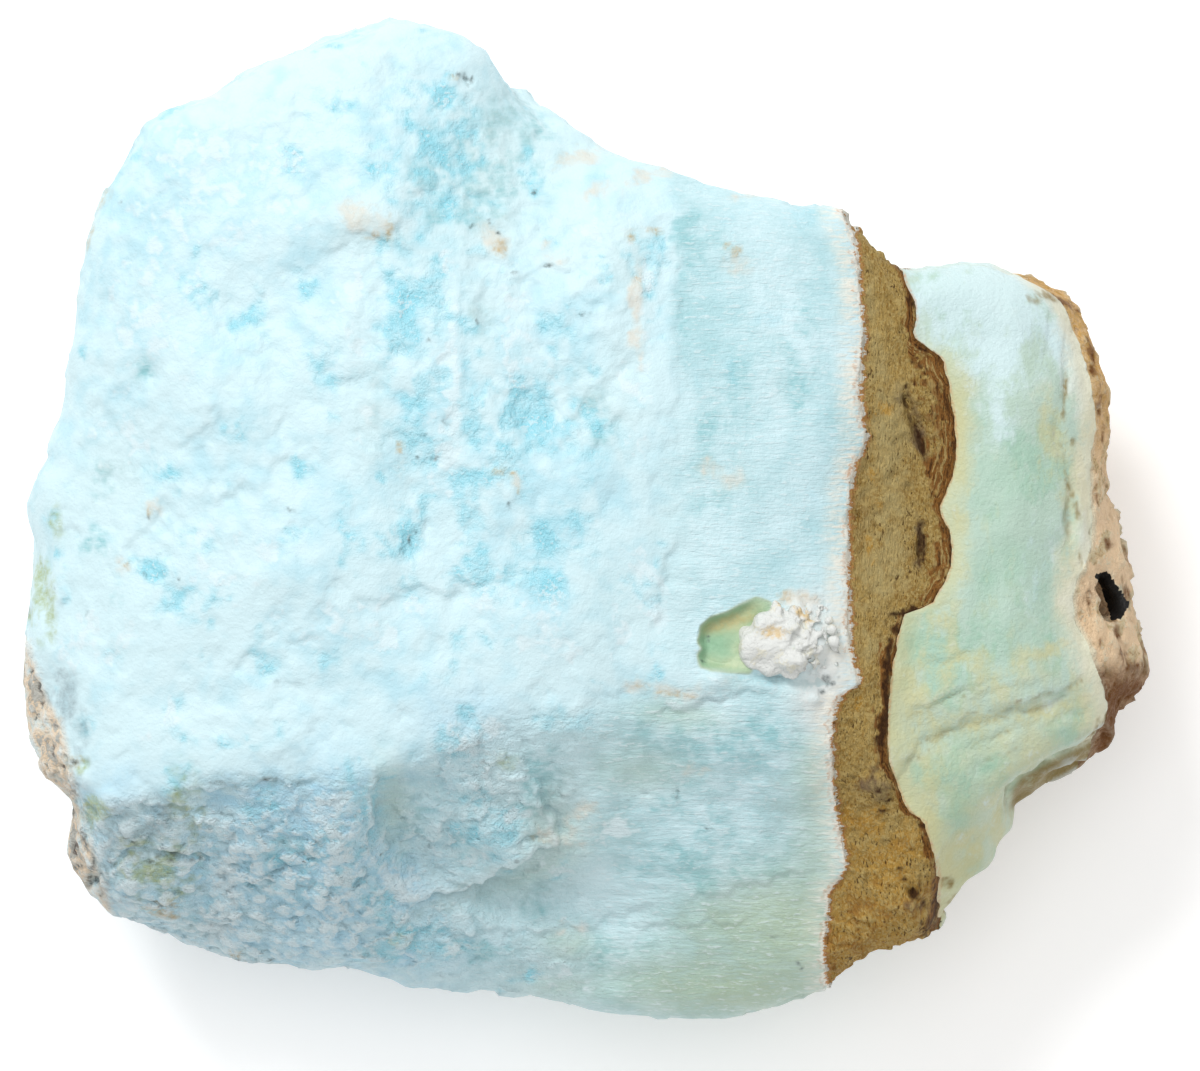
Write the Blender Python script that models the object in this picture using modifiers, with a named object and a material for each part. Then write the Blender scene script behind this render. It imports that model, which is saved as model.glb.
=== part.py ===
"""Rough chunk of banded blue calcite, lying on its broken underside with its broad face up.

The stone's own coordinates are in tenths of a millimetre: u runs along its length, v runs from its
upper edge to its lower edge, and h is the height over the resting face. They scale with LENGTH and
THICKNESS.
"""
import math

import bmesh
import bpy
import numpy as np
from mathutils import Matrix, Vector, noise
from mathutils.bvhtree import BVHTree

# Driving dimensions, in metres
LENGTH = 0.1131
WIDTH = 0.1006
THICKNESS = 0.042
SHAPING_VOXEL = 0.0011
SHAPING_LOSS = 0.0004
FACE_COUNT = 9300

# The stone's own units
SPAN_U = 1131
CENTRE_U = 587.5
CENTRE_V = 519.5
FULL_H = 420
UNIT = LENGTH / SPAN_U
UNIT_H = THICKNESS / FULL_H

# Widest outline, seen from above, from the top peak round by the left (u, v)
OUTLINE = [
    (398, 17), (380, 22), (350, 37), (300, 49), (262, 62), (225, 76), (210, 93), (165, 109), (140, 125),
    (122, 155), (102, 184), (86, 215), (75, 255), (66, 310), (61, 360), (55, 405), (53, 425), (38, 450),
    (25, 490), (22, 510), (27, 545), (24, 590), (25, 668), (29, 710), (37, 768), (50, 783), (67, 805),
    (63, 835), (69, 880), (88, 897), (98, 911), (130, 922), (170, 937), (195, 947), (212, 962), (222, 968),
    (238, 960), (262, 960), (300, 970), (335, 966), (365, 971), (395, 983), (440, 987), (480, 988),
    (500, 1001), (545, 1008), (590, 1012), (625, 1020), (650, 1023), (700, 1021), (750, 1011), (790, 993),
    (832, 985), (850, 969), (885, 947), (930, 928), (950, 908), (975, 885), (995, 857), (1010, 838),
    (1012, 804), (1040, 795), (1075, 773), (1105, 759), (1117, 735), (1130, 703), (1150, 688), (1153, 655),
    (1145, 615), (1143, 575), (1133, 550), (1112, 508), (1105, 470), (1102, 430), (1103, 380), (1098, 345),
    (1085, 317), (1068, 301), (1030, 285), (990, 264), (950, 264), (915, 273), (903, 273), (885, 262),
    (862, 240), (843, 216), (830, 209), (790, 203), (750, 197), (700, 185), (665, 171), (620, 156),
    (585, 143), (558, 122), (525, 105), (505, 80), (475, 45), (450, 31), (418, 27), (408, 22),
]

# Heights of the blue mass's broad face (u, v, h)
BLUE_FACE = [
    (400, 40, 366), (262, 90, 368), (165, 140, 368), (100, 250, 368), (75, 400, 356), (45, 520, 348),
    (45, 640, 350), (70, 730, 362), (450, 90, 364), (500, 150, 352), (560, 180, 358), (620, 190, 374),
    (700, 230, 380), (800, 240, 372), (845, 260, 364), (300, 200, 398), (430, 170, 392), (400, 300, 412),
    (250, 330, 400), (150, 350, 386), (550, 320, 406), (480, 430, 417), (620, 430, 409), (330, 480, 413),
    (180, 520, 396), (700, 420, 400), (790, 400, 388), (850, 400, 376), (720, 560, 400), (840, 560, 374),
    (550, 580, 412), (400, 620, 412), (250, 640, 404), (120, 640, 382), (420, 730, 404), (250, 750, 398),
    (560, 700, 406), (680, 690, 398), (800, 700, 380), (850, 690, 370), (900, 500, 350), (900, 750, 352),
]

# Heights of the green layer beyond the brown band (u, v, h)
GREEN_FACE = [
    (920, 290, 336), (1000, 285, 322), (1060, 310, 296), (950, 420, 342), (1000, 400, 336), (1070, 400, 296),
    (960, 520, 342), (1040, 520, 318), (1090, 500, 278), (920, 640, 344), (1000, 620, 332), (1080, 640, 292),
    (900, 720, 340), (960, 735, 326), (1010, 700, 326), (1090, 700, 288), (920, 790, 332), (1000, 780, 302),
    (940, 850, 306), (980, 850, 272), (945, 915, 256), (850, 950, 262),
]

# Edges of the brown band (v, u)
BAND_LEFT = [
    (220, 845), (270, 858), (310, 862), (400, 860), (435, 865), (480, 853), (520, 850), (650, 851),
    (682, 858), (697, 840), (745, 833), (785, 836), (868, 848), (893, 828), (950, 829), (985, 830),
]
BAND_RIGHT = [
    (273, 903), (295, 912), (335, 912), (352, 930), (368, 943), (400, 948), (440, 954), (478, 950),
    (510, 936), (525, 948), (560, 951), (590, 940), (612, 915), (618, 903), (680, 891), (720, 888),
    (760, 890), (800, 900), (823, 922), (855, 938), (925, 932),
]
BAND_DEPTH = 8
BAND_STEP = 7

# Lines past which the face falls away, and how steeply (line points, then fall per unit)
LOWER_CREST = [
    (60, 765), (95, 800), (170, 790), (200, 775), (300, 775), (360, 770), (400, 765), (440, 750),
    (500, 722), (640, 702), (740, 690), (830, 700), (900, 760), (1000, 800),
]
LOWER_FALL = [
    (60, 1.05), (200, 1.1), (330, 0.95), (420, 0.9), (600, 0.78), (700, 0.55), (830, 0.45), (930, 0.2),
]
RIGHT_LEDGE = [(990, 800), (1010, 780), (1030, 762), (1060, 747), (1100, 737), (1130, 725)]
RIGHT_LEDGE_FALL = 2.2
RIGHT_LEDGE_START = (1000, 40)
RIGHT_CRUST = [
    (290, 1035), (340, 1088), (440, 1100), (500, 1098), (545, 1092), (580, 1087), (640, 1090), (690, 1106),
    (740, 1113),
]
RIGHT_CRUST_FALL = 1.15
LEFT_CRUST = [
    (640, 30), (670, 54), (720, 62), (765, 60), (785, 62), (805, 92), (850, 98), (895, 108), (915, 112),
]
LEFT_CRUST_FALL = 1.5
FALL_SOFTNESS = 9

# Lumps and hollows of the faces (u, v, half length, half width, turn in degrees, height)
RELIEF = [
    (415, 842, 44, 58, -20, -40), (335, 842, 28, 52, 0, 20), (500, 850, 130, 22, -27, 22),
    (550, 898, 95, 24, -8, -28), (420, 895, 60, 16, -25, 10), (580, 955, 90, 30, -5, 12),
    (440, 165, 38, 46, 0, -10), (375, 245, 30, 12, 0, -12), (350, 215, 42, 18, 10, 8),
    (290, 285, 60, 34, 20, -9), (215, 400, 60, 45, -10, 9), (120, 470, 30, 60, 10, -8),
    (540, 400, 46, 60, 0, -9), (600, 270, 42, 70, 0, 9), (430, 520, 34, 80, 10, -9),
    (300, 560, 70, 40, 15, 9), (520, 560, 45, 40, 0, -8), (190, 700, 45, 40, 0, -9),
    (655, 700, 60, 12, -8, -10), (760, 745, 110, 26, -4, 8), (1050, 708, 60, 9, 12, -12),
    (930, 730, 36, 9, -14, -10), (960, 600, 40, 60, 0, 6), (180, 870, 50, 18, -20, -12),
    (250, 850, 40, 40, 0, 10), (878, 785, 15, 15, 0, 9), (905, 330, 14, 34, 0, -10),
    (920, 430, 8, 30, -14, -14), (915, 540, 8, 32, 4, -14),
]

# Flat fracture faces on the sides and the underside (u, v, h, facing in degrees, dip in degrees, reach)
FRACTURES = [
    (150, 135, 300, 135, 18, 300), (330, 45, 200, 100, 34, 240), (55, 330, 230, 172, 22, 260),
    (30, 600, 190, 186, 30, 260), (75, 850, 170, 215, 38, 230), (230, 955, 150, 262, 30, 210),
    (430, 985, 120, 272, 42, 240), (660, 1018, 150, 275, 26, 250), (870, 955, 150, 305, 36, 250),
    (1005, 840, 160, 325, 40, 200), (1080, 770, 190, 300, 46, 170), (1158, 650, 178, 5, 32, 240),
    (1100, 400, 220, 10, 30, 240), (980, 268, 210, 84, 34, 200), (790, 205, 250, 80, 24, 240),
    (560, 125, 270, 58, 32, 230), (470, 50, 230, 50, 24, 200), (300, 300, 12, 140, 74, 330),
    (960, 560, 25, 10, 66, 330), (600, 930, 20, 275, 62, 300), (180, 760, 30, 215, 66, 260),
]
UNDER_CENTRE = (560, 540)
# How far the foot of the side stands in from the outline, by direction in degrees (direction, inset)
FOOT_INSET = [
    (0, 150), (35, 95), (60, 70), (90, 90), (130, 120), (160, 80), (185, 75), (215, 110), (245, 85),
    (275, 120), (310, 140), (335, 160), (360, 150),
]
WIDEST_SHARE = 0.62
EDGE_ROUND = 34
UNDER_RISE = 62
UNDER_REACH = 120
UNDER_DEPTH = 11
# Hollows of the underside, which the stone doesn't rest on (u, v, half length, half width, turn, height)
UNDER_RELIEF = [
    (330, 235, 150, 60, 32, 46), (850, 560, 80, 170, -14, 44), (250, 790, 150, 66, -34, 44),
    (640, 860, 160, 52, 6, 40), (560, 250, 50, 90, 12, 34), (150, 480, 62, 90, 0, 38),
    (520, 560, 120, 26, -38, 17),
]

# Roughness of the faces, in metres, and where the broad face is sugary with crystals
LUMP_SIZE = 0.011
LUMP_HEIGHT = 0.00055
FACET_SIZES = [(0.017, 0.0021), (0.007, 0.0010)]
FACET_STEP = 0.35
FACET_SEED = 4
SUGARY = (240, 880, 190, 90)
# Share of the broken facets that the broad face, and lumps and facets that the upright sides, don't have
FACE_CALM = 0.85
SUGARY_SHARE = 0.4
SIDE_CALM = 0.55

# The vug, the white nodule in it and the dark pit in the crust, and how lumpy they are
# (u, v, half sizes, turn and lean in degrees, share of the half height that it is sunk by)
VUG = (730, 636, (38, 28, 36), 18, 0, 0.0)
NODULE = (789, 642, (48, 38, 28), 0, 0, 0.45)
PIT = (1112, 597, (15, 27, 52), 24, 14, 0.1)
BLOB_LUMPS = 0.16
BLOB_LUMP_SIZE = 0.6


def place(u, v, h=0.0):
    """A point of the stone's own coordinates in metres."""
    return ((u - CENTRE_U) * UNIT, (CENTRE_V - v) * UNIT, h * UNIT_H)


def material(name, colour, roughness):
    """A Principled material of one colour."""
    made = bpy.data.materials.new(name)
    made.use_nodes = True
    shader = made.node_tree.nodes["Principled BSDF"]
    shader.inputs["Base Color"].default_value = (*colour, 1.0)
    shader.inputs["Roughness"].default_value = roughness
    shader.inputs["Metallic"].default_value = 0.0
    return made


def along(line, position):
    """A line's value at each position, the line being pairs of position and value."""
    positions, values = zip(*line)
    return np.interp(position, positions, values)


def around(line, position):
    """As along, with soft turns at the line's points."""
    positions, values = (np.array(column, dtype=float) for column in zip(*line))
    index = np.clip(np.searchsorted(positions, position, side="right") - 1, 0, len(positions) - 2)
    share = (position - positions[index]) / (positions[index + 1] - positions[index])
    return values[index] + (values[index + 1] - values[index]) * smooth_step(share - 0.5, 1.0)


def smooth_step(value, width):
    """0 below, 1 above, and a soft step of this width at zero."""
    share = np.clip(value / width + 0.5, 0.0, 1.0)
    return share * share * (3.0 - 2.0 * share)


def past(value, softness):
    """How far a value is past zero, with a rounded start."""
    return 0.5 * (value + np.sqrt(value * value + softness * softness)) - 0.5 * softness


def surface_through(stations, u, v):
    """The smooth sheet (thin plate spline) through surveyed heights."""
    survey = np.array(stations, dtype=float)
    centres = survey[:, :2] / 100.0

    def kernel(a, b):
        square = ((a[:, None, :] - b[None, :, :]) ** 2).sum(axis=2)
        return 0.5 * square * np.log(square + 1e-12)

    count = len(survey)
    system = np.zeros((count + 3, count + 3))
    system[:count, :count] = kernel(centres, centres)
    system[:count, count:] = np.column_stack([np.ones(count), centres])
    system[count:, :count] = system[:count, count:].T
    weights = np.linalg.solve(system, np.concatenate([survey[:, 2], np.zeros(3)]))
    points = np.column_stack([u, v]) / 100.0
    return kernel(points, centres) @ weights[:count] + weights[count] + points @ weights[count + 1:]


def outline_distance(u, v):
    """Distance of each point to the outline."""
    start = np.array(OUTLINE, dtype=float)
    run = np.roll(start, -1, axis=0) - start
    nearest = np.full(len(u), 1e9)
    for (start_u, start_v), (run_u, run_v) in zip(start, run):
        share = ((u - start_u) * run_u + (v - start_v) * run_v) / (run_u * run_u + run_v * run_v)
        share = np.clip(share, 0.0, 1.0)
        nearest = np.minimum(nearest, np.hypot(u - start_u - share * run_u, v - start_v - share * run_v))
    return nearest


def swells(relief, u, v):
    """Sum of soft lumps and hollows."""
    height = np.zeros(len(u))
    for centre_u, centre_v, half_length, half_width, turn, rise in relief:
        cosine = math.cos(math.radians(turn))
        sine = math.sin(math.radians(turn))
        across = (u - centre_u) * cosine - (v - centre_v) * sine
        down = (u - centre_u) * sine + (v - centre_v) * cosine
        height += rise * np.exp(-((across / half_length) ** 2) - (down / half_width) ** 2)
    return height


def top_height(u, v):
    """Height of the upper surface."""
    band_left = along(BAND_LEFT, v)
    band_right = along(BAND_RIGHT, v)
    blue = surface_through(BLUE_FACE, u, v)
    blue -= BAND_DEPTH * smooth_step(u - band_left, BAND_STEP)
    green = surface_through(GREEN_FACE, u, v)
    beyond_band = smooth_step(u - band_right, BAND_STEP)
    height = blue + (green - blue) * beyond_band
    height -= along(LOWER_FALL, u) * past(v - along(LOWER_CREST, u), FALL_SOFTNESS)
    ledge_start, ledge_blend = RIGHT_LEDGE_START
    ledge_share = smooth_step(u - ledge_start, ledge_blend)
    height -= RIGHT_LEDGE_FALL * past(v - along(RIGHT_LEDGE, u), FALL_SOFTNESS) * ledge_share
    height -= RIGHT_CRUST_FALL * past(u - along(RIGHT_CRUST, v), FALL_SOFTNESS)
    height -= LEFT_CRUST_FALL * past(along(LEFT_CRUST, v) - u, FALL_SOFTNESS)
    height += swells(RELIEF, u, v)
    inward = np.clip(1.0 - outline_distance(u, v) / EDGE_ROUND, 0.0, 1.0)
    return height - EDGE_ROUND * (1.0 - np.sqrt(1.0 - inward * inward))


def under_height(u, v):
    """Height of the underside, flat between its hollows and rising to the sides."""
    rim = np.clip(1.0 - outline_distance(u, v) / UNDER_REACH, 0.0, 1.0)
    return UNDER_RISE * rim ** 1.5 - UNDER_DEPTH + swells(UNDER_RELIEF, u, v)


def outline_slab():
    """A slab of the outline, remeshed into small even faces."""
    curve = bpy.data.curves.new("outline", "CURVE")
    curve.dimensions = "2D"
    curve.fill_mode = "BOTH"
    curve.extrude = THICKNESS / 2
    curve.offset = SHAPING_LOSS
    spline = curve.splines.new("POLY")
    spline.points.add(len(OUTLINE) - 1)
    for point, (u, v) in zip(spline.points, OUTLINE):
        point.co = (*place(u, v), 1.0)
    spline.use_cyclic_u = True
    sketch = bpy.data.objects.new("outline", curve)
    bpy.context.scene.collection.objects.link(sketch)
    mesh = evaluated_mesh(sketch)
    bpy.data.objects.remove(sketch)
    shaping = bmesh.new()
    shaping.from_mesh(mesh)
    bmesh.ops.remove_doubles(shaping, verts=shaping.verts, dist=0.00001)
    bmesh.ops.recalc_face_normals(shaping, faces=shaping.faces)
    shaping.to_mesh(mesh)
    shaping.free()
    return mesh


def evaluated_mesh(thing):
    """The object's mesh with its modifiers applied."""
    bpy.context.view_layer.update()
    return bpy.data.meshes.new_from_object(thing.evaluated_get(bpy.context.evaluated_depsgraph_get()))


def remeshed(mesh, voxel):
    """A copy of a closed mesh in even faces of one size."""
    holder = bpy.data.objects.new("holder", mesh)
    bpy.context.scene.collection.objects.link(holder)
    remesh = holder.modifiers.new("voxels", "REMESH")
    remesh.mode = "VOXEL"
    remesh.voxel_size = voxel
    result = evaluated_mesh(holder)
    bpy.data.objects.remove(holder)
    return result


def read_points(mesh):
    """The mesh's points as an array."""
    points = np.empty(len(mesh.vertices) * 3, dtype=np.float32)
    mesh.vertices.foreach_get("co", points)
    return points.reshape(-1, 3).astype(float)


def read_normals(mesh):
    """The mesh's point normals as an array, summed in the same order each time."""
    shaping = bmesh.new()
    shaping.from_mesh(mesh)
    shaping.normal_update()
    normals = np.array([corner.normal for corner in shaping.verts])
    shaping.free()
    return normals


def move_points(mesh, points):
    """Give the mesh's points new places."""
    mesh.vertices.foreach_set("co", points.astype(np.float32).ravel())
    mesh.update()


def shape_between_sheets(mesh):
    """Stretch the slab between the underside and the upper surface, and draw its foot in."""
    points = read_points(mesh)
    u = points[:, 0] / UNIT + CENTRE_U
    v = CENTRE_V - points[:, 1] / UNIT
    level = np.clip(points[:, 2] / THICKNESS + 0.5, 0.0, 1.0)
    low = under_height(u, v)
    height = low + (top_height(u, v) - low) * level
    from_centre_u = u - UNDER_CENTRE[0]
    from_centre_v = v - UNDER_CENTRE[1]
    direction = np.degrees(np.arctan2(-from_centre_v, from_centre_u)) % 360.0
    reach = np.hypot(from_centre_u, from_centre_v)
    edge = reach + outline_distance(u, v)
    low_share = 1.0 - smooth_step(level - WIDEST_SHARE / 2, WIDEST_SHARE)
    drawn_in = around(FOOT_INSET, direction) / edge * low_share
    u = UNDER_CENTRE[0] + from_centre_u * (1.0 - drawn_in)
    v = UNDER_CENTRE[1] + from_centre_v * (1.0 - drawn_in)
    move_points(mesh, np.column_stack(place(u, v, height)))


def flatten_fractures(mesh):
    """Press the points outside each fracture face onto it, near its middle."""
    points = read_points(mesh)
    for u, v, h, facing, dip, reach in FRACTURES:
        level = math.cos(math.radians(dip))
        outward = np.array([
            math.cos(math.radians(facing)) * level,
            math.sin(math.radians(facing)) * level,
            -math.sin(math.radians(dip)),
        ])
        middle = np.array(place(u, v, h))
        offset = points - middle
        outside = np.clip(offset @ outward, 0.0, None)
        nearness = 1.0 - smooth_step(np.linalg.norm(offset, axis=1) / UNIT - reach, reach * 0.5)
        points -= (outside * nearness)[:, None] * outward
    move_points(mesh, points)


def facet_height(point, size):
    """Height of a patchwork of small tilted planes, as a fracture through grains leaves."""
    place_in_cells = point / size
    _distances, centres = noise.voronoi(place_in_cells)
    centre = centres[0]
    tilt = noise.noise_vector(centre * 5.3)
    return (place_in_cells - centre).dot(tilt) + FACET_STEP * noise.noise(centre * 3.1)


def roughen(mesh):
    """Low lumps on the broad face, and coarse broken facets on the sides and the underside."""
    points = read_points(mesh)
    normals = read_normals(mesh)
    lumps = np.array([noise.fractal(Vector(point) / LUMP_SIZE, 0.8, 2.2, 3) for point in points])
    broken = np.zeros(len(points))
    for size, height in FACET_SIZES:
        broken += height * np.array([facet_height(Vector(point), size) for point in points])
    centre_u, centre_v, half_u, half_v = SUGARY
    from_middle_u = (points[:, 0] / UNIT + CENTRE_U - centre_u) / half_u
    from_middle_v = (CENTRE_V - points[:, 1] / UNIT - centre_v) / half_v
    sugary = np.exp(-(from_middle_u ** 2) - from_middle_v ** 2)
    upward = np.clip(normals[:, 2] * 1.6, 0.0, 1.0)
    upright = np.clip(1.0 - np.abs(normals[:, 2]) * 2.0, 0.0, 1.0)
    moved = LUMP_HEIGHT * lumps + broken * (1.0 - upward * (FACE_CALM - SUGARY_SHARE * sugary))
    move_points(mesh, points + normals * (moved * (1.0 - SIDE_CALM * upright))[:, None])


def fit_to_size(mesh):
    """Stretch each side of the middle a little, to the stone's exact length, width and thickness."""
    points = read_points(mesh)
    for axis, half in ((0, LENGTH / 2), (1, WIDTH / 2)):
        side = points[:, axis]
        points[:, axis] = side * np.where(side > 0, half / side.max(), -half / side.min())
    points[:, 2] *= THICKNESS / points[:, 2].max()
    move_points(mesh, points)


def cut_resting_face(mesh):
    """Cut the underside flat at height zero and close it."""
    shaping = bmesh.new()
    shaping.from_mesh(mesh)
    geometry = shaping.verts[:] + shaping.edges[:] + shaping.faces[:]
    cut = bmesh.ops.bisect_plane(
        shaping, geom=geometry, dist=1e-7, plane_co=(0, 0, 0), plane_no=(0, 0, -1), clear_outer=True
    )
    rim = [item for item in cut["geom_cut"] if isinstance(item, bmesh.types.BMEdge)]
    bmesh.ops.triangle_fill(shaping, edges=rim, use_beauty=True, normal=(0, 0, -1))
    bmesh.ops.recalc_face_normals(shaping, faces=shaping.faces)
    shaping.to_mesh(mesh)
    shaping.free()


def thinned(mesh, face_count):
    """A copy of the mesh in about this many triangles."""
    holder = bpy.data.objects.new("holder", mesh)
    bpy.context.scene.collection.objects.link(holder)
    triangles = sum(len(face.vertices) - 2 for face in mesh.polygons)
    decimate = holder.modifiers.new("thinning", "DECIMATE")
    decimate.ratio = face_count / triangles
    result = evaluated_mesh(holder)
    bpy.data.objects.remove(holder)
    return result


def blob(name, shape, stone, collection):
    """A lumpy ball in the stone's upper surface."""
    u, v, (half_u, half_v, half_h), turn, lean, sink = shape
    corners = [corner.co for corner in stone.data.vertices]
    tree = BVHTree.FromPolygons(corners, [face.vertices for face in stone.data.polygons])
    surface = tree.ray_cast(Vector(place(u, v, 2 * FULL_H)), Vector((0, 0, -1)))[0]
    shaping = bmesh.new()
    bmesh.ops.create_icosphere(shaping, subdivisions=2, radius=1.0)
    for corner in shaping.verts:
        corner.co *= 1.0 + BLOB_LUMPS * noise.noise(corner.co / BLOB_LUMP_SIZE)
    sized = Matrix.Diagonal((half_u * UNIT, half_v * UNIT, half_h * UNIT_H, 1.0))
    turned = Matrix.Rotation(math.radians(turn), 4, "Z") @ Matrix.Rotation(math.radians(lean), 4, "Y")
    moved = Matrix.Translation(surface - Vector((0, 0, sink * half_h * UNIT_H)))
    bmesh.ops.transform(shaping, matrix=moved @ turned @ sized, verts=shaping.verts)
    mesh = bpy.data.meshes.new(name)
    shaping.to_mesh(mesh)
    shaping.free()
    made = bpy.data.objects.new(name, mesh)
    made.hide_render = True
    made.display_type = "WIRE"
    collection.objects.link(made)
    return made


def combine(stone, tool, operation):
    """Cut the stone with a tool, or join the tool to it."""
    boolean = stone.modifiers.new(f"{operation.lower()} {tool.name}", "BOOLEAN")
    boolean.object = tool
    boolean.operation = operation
    boolean.solver = "EXACT"


def build_stone(stones, cutters):
    """The whole stone as one closed solid."""
    mesh = remeshed(outline_slab(), SHAPING_VOXEL)
    shape_between_sheets(mesh)
    flatten_fractures(mesh)
    mesh = remeshed(mesh, SHAPING_VOXEL)
    roughen(mesh)
    mesh = thinned(mesh, FACE_COUNT)
    fit_to_size(mesh)
    cut_resting_face(mesh)
    stone = bpy.data.objects.new("calcite_stone", mesh)
    stone.data.materials.append(material("pale blue calcite", (0.63, 0.89, 0.94), 0.55))
    stones.objects.link(stone)
    combine(stone, blob("vug", VUG, stone, cutters), "DIFFERENCE")
    combine(stone, blob("nodule", NODULE, stone, cutters), "UNION")
    combine(stone, blob("pit", PIT, stone, cutters), "DIFFERENCE")
    return stone


def main():
    noise.seed_set(FACET_SEED)
    for thing in list(bpy.data.objects):
        bpy.data.objects.remove(thing)
    stones = bpy.data.collections.new("banded blue calcite")
    cutters = bpy.data.collections.new("cutters")
    bpy.context.scene.collection.children.link(stones)
    bpy.context.scene.collection.children.link(cutters)
    build_stone(stones, cutters)


main()
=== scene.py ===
"""Rough chunk of banded blue calcite: its mineral layers with their grain and colours.

Places on the stone are given as it lies, seen from above, in tenths of a millimetre: u runs along its
length, v from its upper edge down to its lower edge, and h up from the resting face.
"""

import math

import bmesh
import bpy
import numpy as np
from bpy.props import FloatProperty, FloatVectorProperty, IntProperty, PointerProperty
from mathutils import Euler, Matrix, Vector, noise
from mathutils.bvhtree import BVHTree
from mathutils.kdtree import KDTree


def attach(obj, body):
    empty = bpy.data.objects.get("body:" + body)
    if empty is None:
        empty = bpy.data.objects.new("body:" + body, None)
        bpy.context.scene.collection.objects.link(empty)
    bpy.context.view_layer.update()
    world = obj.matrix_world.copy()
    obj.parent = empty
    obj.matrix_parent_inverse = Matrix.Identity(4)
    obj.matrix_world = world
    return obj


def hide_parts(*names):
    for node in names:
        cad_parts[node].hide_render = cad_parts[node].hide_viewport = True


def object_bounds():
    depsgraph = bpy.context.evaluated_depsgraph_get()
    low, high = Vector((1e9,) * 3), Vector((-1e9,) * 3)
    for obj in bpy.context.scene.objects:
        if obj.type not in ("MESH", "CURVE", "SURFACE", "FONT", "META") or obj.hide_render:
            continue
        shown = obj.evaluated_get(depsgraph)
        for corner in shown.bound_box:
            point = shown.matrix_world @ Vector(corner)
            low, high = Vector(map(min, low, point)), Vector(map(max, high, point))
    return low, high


bl_info = {
    "name": "Banded Blue Calcite",
    "version": (1, 0, 0),
    "blender": (4, 5, 0),
    "location": "3D View > Sidebar > Calcite",
    "description": "Builds a rough chunk of banded blue calcite, layer by layer",
    "category": "Add Mesh",
}

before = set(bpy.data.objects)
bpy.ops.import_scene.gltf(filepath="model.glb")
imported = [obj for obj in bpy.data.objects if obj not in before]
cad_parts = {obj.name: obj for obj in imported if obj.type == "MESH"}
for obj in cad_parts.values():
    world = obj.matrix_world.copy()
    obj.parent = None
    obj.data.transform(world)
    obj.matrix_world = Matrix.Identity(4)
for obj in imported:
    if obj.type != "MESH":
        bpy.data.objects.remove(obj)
CAD_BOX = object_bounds()
SOLID = "calcite_stone"
BODY = "root"
SKIN = "stone_skin"

# The stone's own units
UNIT = 0.0001
CENTRE_U = 587.5
CENTRE_V = 519.5
MM = 0.001

# Edges of the brown band on the upper face (v, u)
BAND_LEFT = [
    (200, 838), (220, 845), (245, 855), (270, 858), (300, 861), (330, 863), (400, 860), (425, 864),
    (440, 866), (460, 858), (480, 851), (520, 848), (600, 849), (650, 850), (672, 857), (684, 858),
    (697, 840), (712, 834), (745, 832), (785, 834), (815, 838), (868, 848), (893, 830), (920, 828),
    (950, 827), (985, 828),
]
BAND_RIGHT = [
    (262, 893), (273, 903), (286, 908), (300, 914), (318, 917), (330, 913), (340, 916), (350, 930),
    (358, 942), (368, 944), (385, 949), (400, 951), (420, 954), (440, 956), (460, 955), (478, 951),
    (495, 944), (508, 939), (518, 942), (530, 949), (550, 952), (566, 951), (580, 946), (592, 938),
    (603, 932), (609, 918), (613, 904), (625, 900), (645, 895), (680, 890), (720, 887), (750, 887),
    (765, 890), (785, 897), (800, 903), (812, 910), (820, 924), (835, 927), (855, 935), (880, 938),
    (915, 934), (935, 930), (950, 915), (975, 910),
]
# Heights of the face along the band's two edges (v, h), and how far the contacts lean under it
LEFT_FACE = [
    (220, 338), (270, 354), (330, 362), (400, 364), (440, 360), (650, 363), (712, 360), (745, 348),
    (785, 329), (815, 310), (868, 285), (920, 252), (985, 195),
]
RIGHT_FACE = [
    (273, 320), (300, 333), (350, 335), (560, 335), (620, 343), (680, 350), (750, 344), (800, 327),
    (850, 312), (880, 286), (925, 246),
]
BAND_LEAN = 0.12
# Inner edge of the tan crust on the right (v, u), the face's height along it (v, h), and its lean
CRUST_EDGE = [
    (262, 1030), (280, 1045), (300, 1064), (318, 1074), (340, 1085), (370, 1089), (398, 1094), (412, 1100),
    (438, 1099), (452, 1093), (500, 1092), (522, 1096), (545, 1093), (560, 1086), (580, 1077), (600, 1074),
    (622, 1076), (641, 1086), (670, 1094), (688, 1108), (705, 1112), (730, 1108), (755, 1104), (780, 1104),
]
CRUST_FACE = [
    (270, 262), (288, 286), (300, 268), (340, 285), (400, 289), (450, 284), (540, 284), (600, 298),
    (690, 284), (720, 270), (780, 240),
]
CRUST_LEAN = -0.5
# Contacts between the layers, by the name of the block past them: the line, its lean and the face's heights
CONTACTS = {
    "past_band_left": (BAND_LEFT, BAND_LEAN, LEFT_FACE),
    "past_band_right": (BAND_RIGHT, BAND_LEAN, RIGHT_FACE),
    "past_crust_edge": (CRUST_EDGE, CRUST_LEAN, CRUST_FACE),
}

# Lines past which the broad face falls away (u, v) and where the left crust begins (v, u)
LOWER_CREST = [
    (60, 765), (95, 800), (170, 790), (200, 775), (300, 775), (360, 770), (400, 765), (440, 750), (500, 722),
    (640, 702), (740, 690), (830, 700), (900, 760), (1000, 800),
]
LEFT_CRUST = [
    (655, 30), (672, 40), (700, 46), (720, 62), (765, 70), (800, 78), (850, 92), (895, 104), (915, 108),
]

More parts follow.
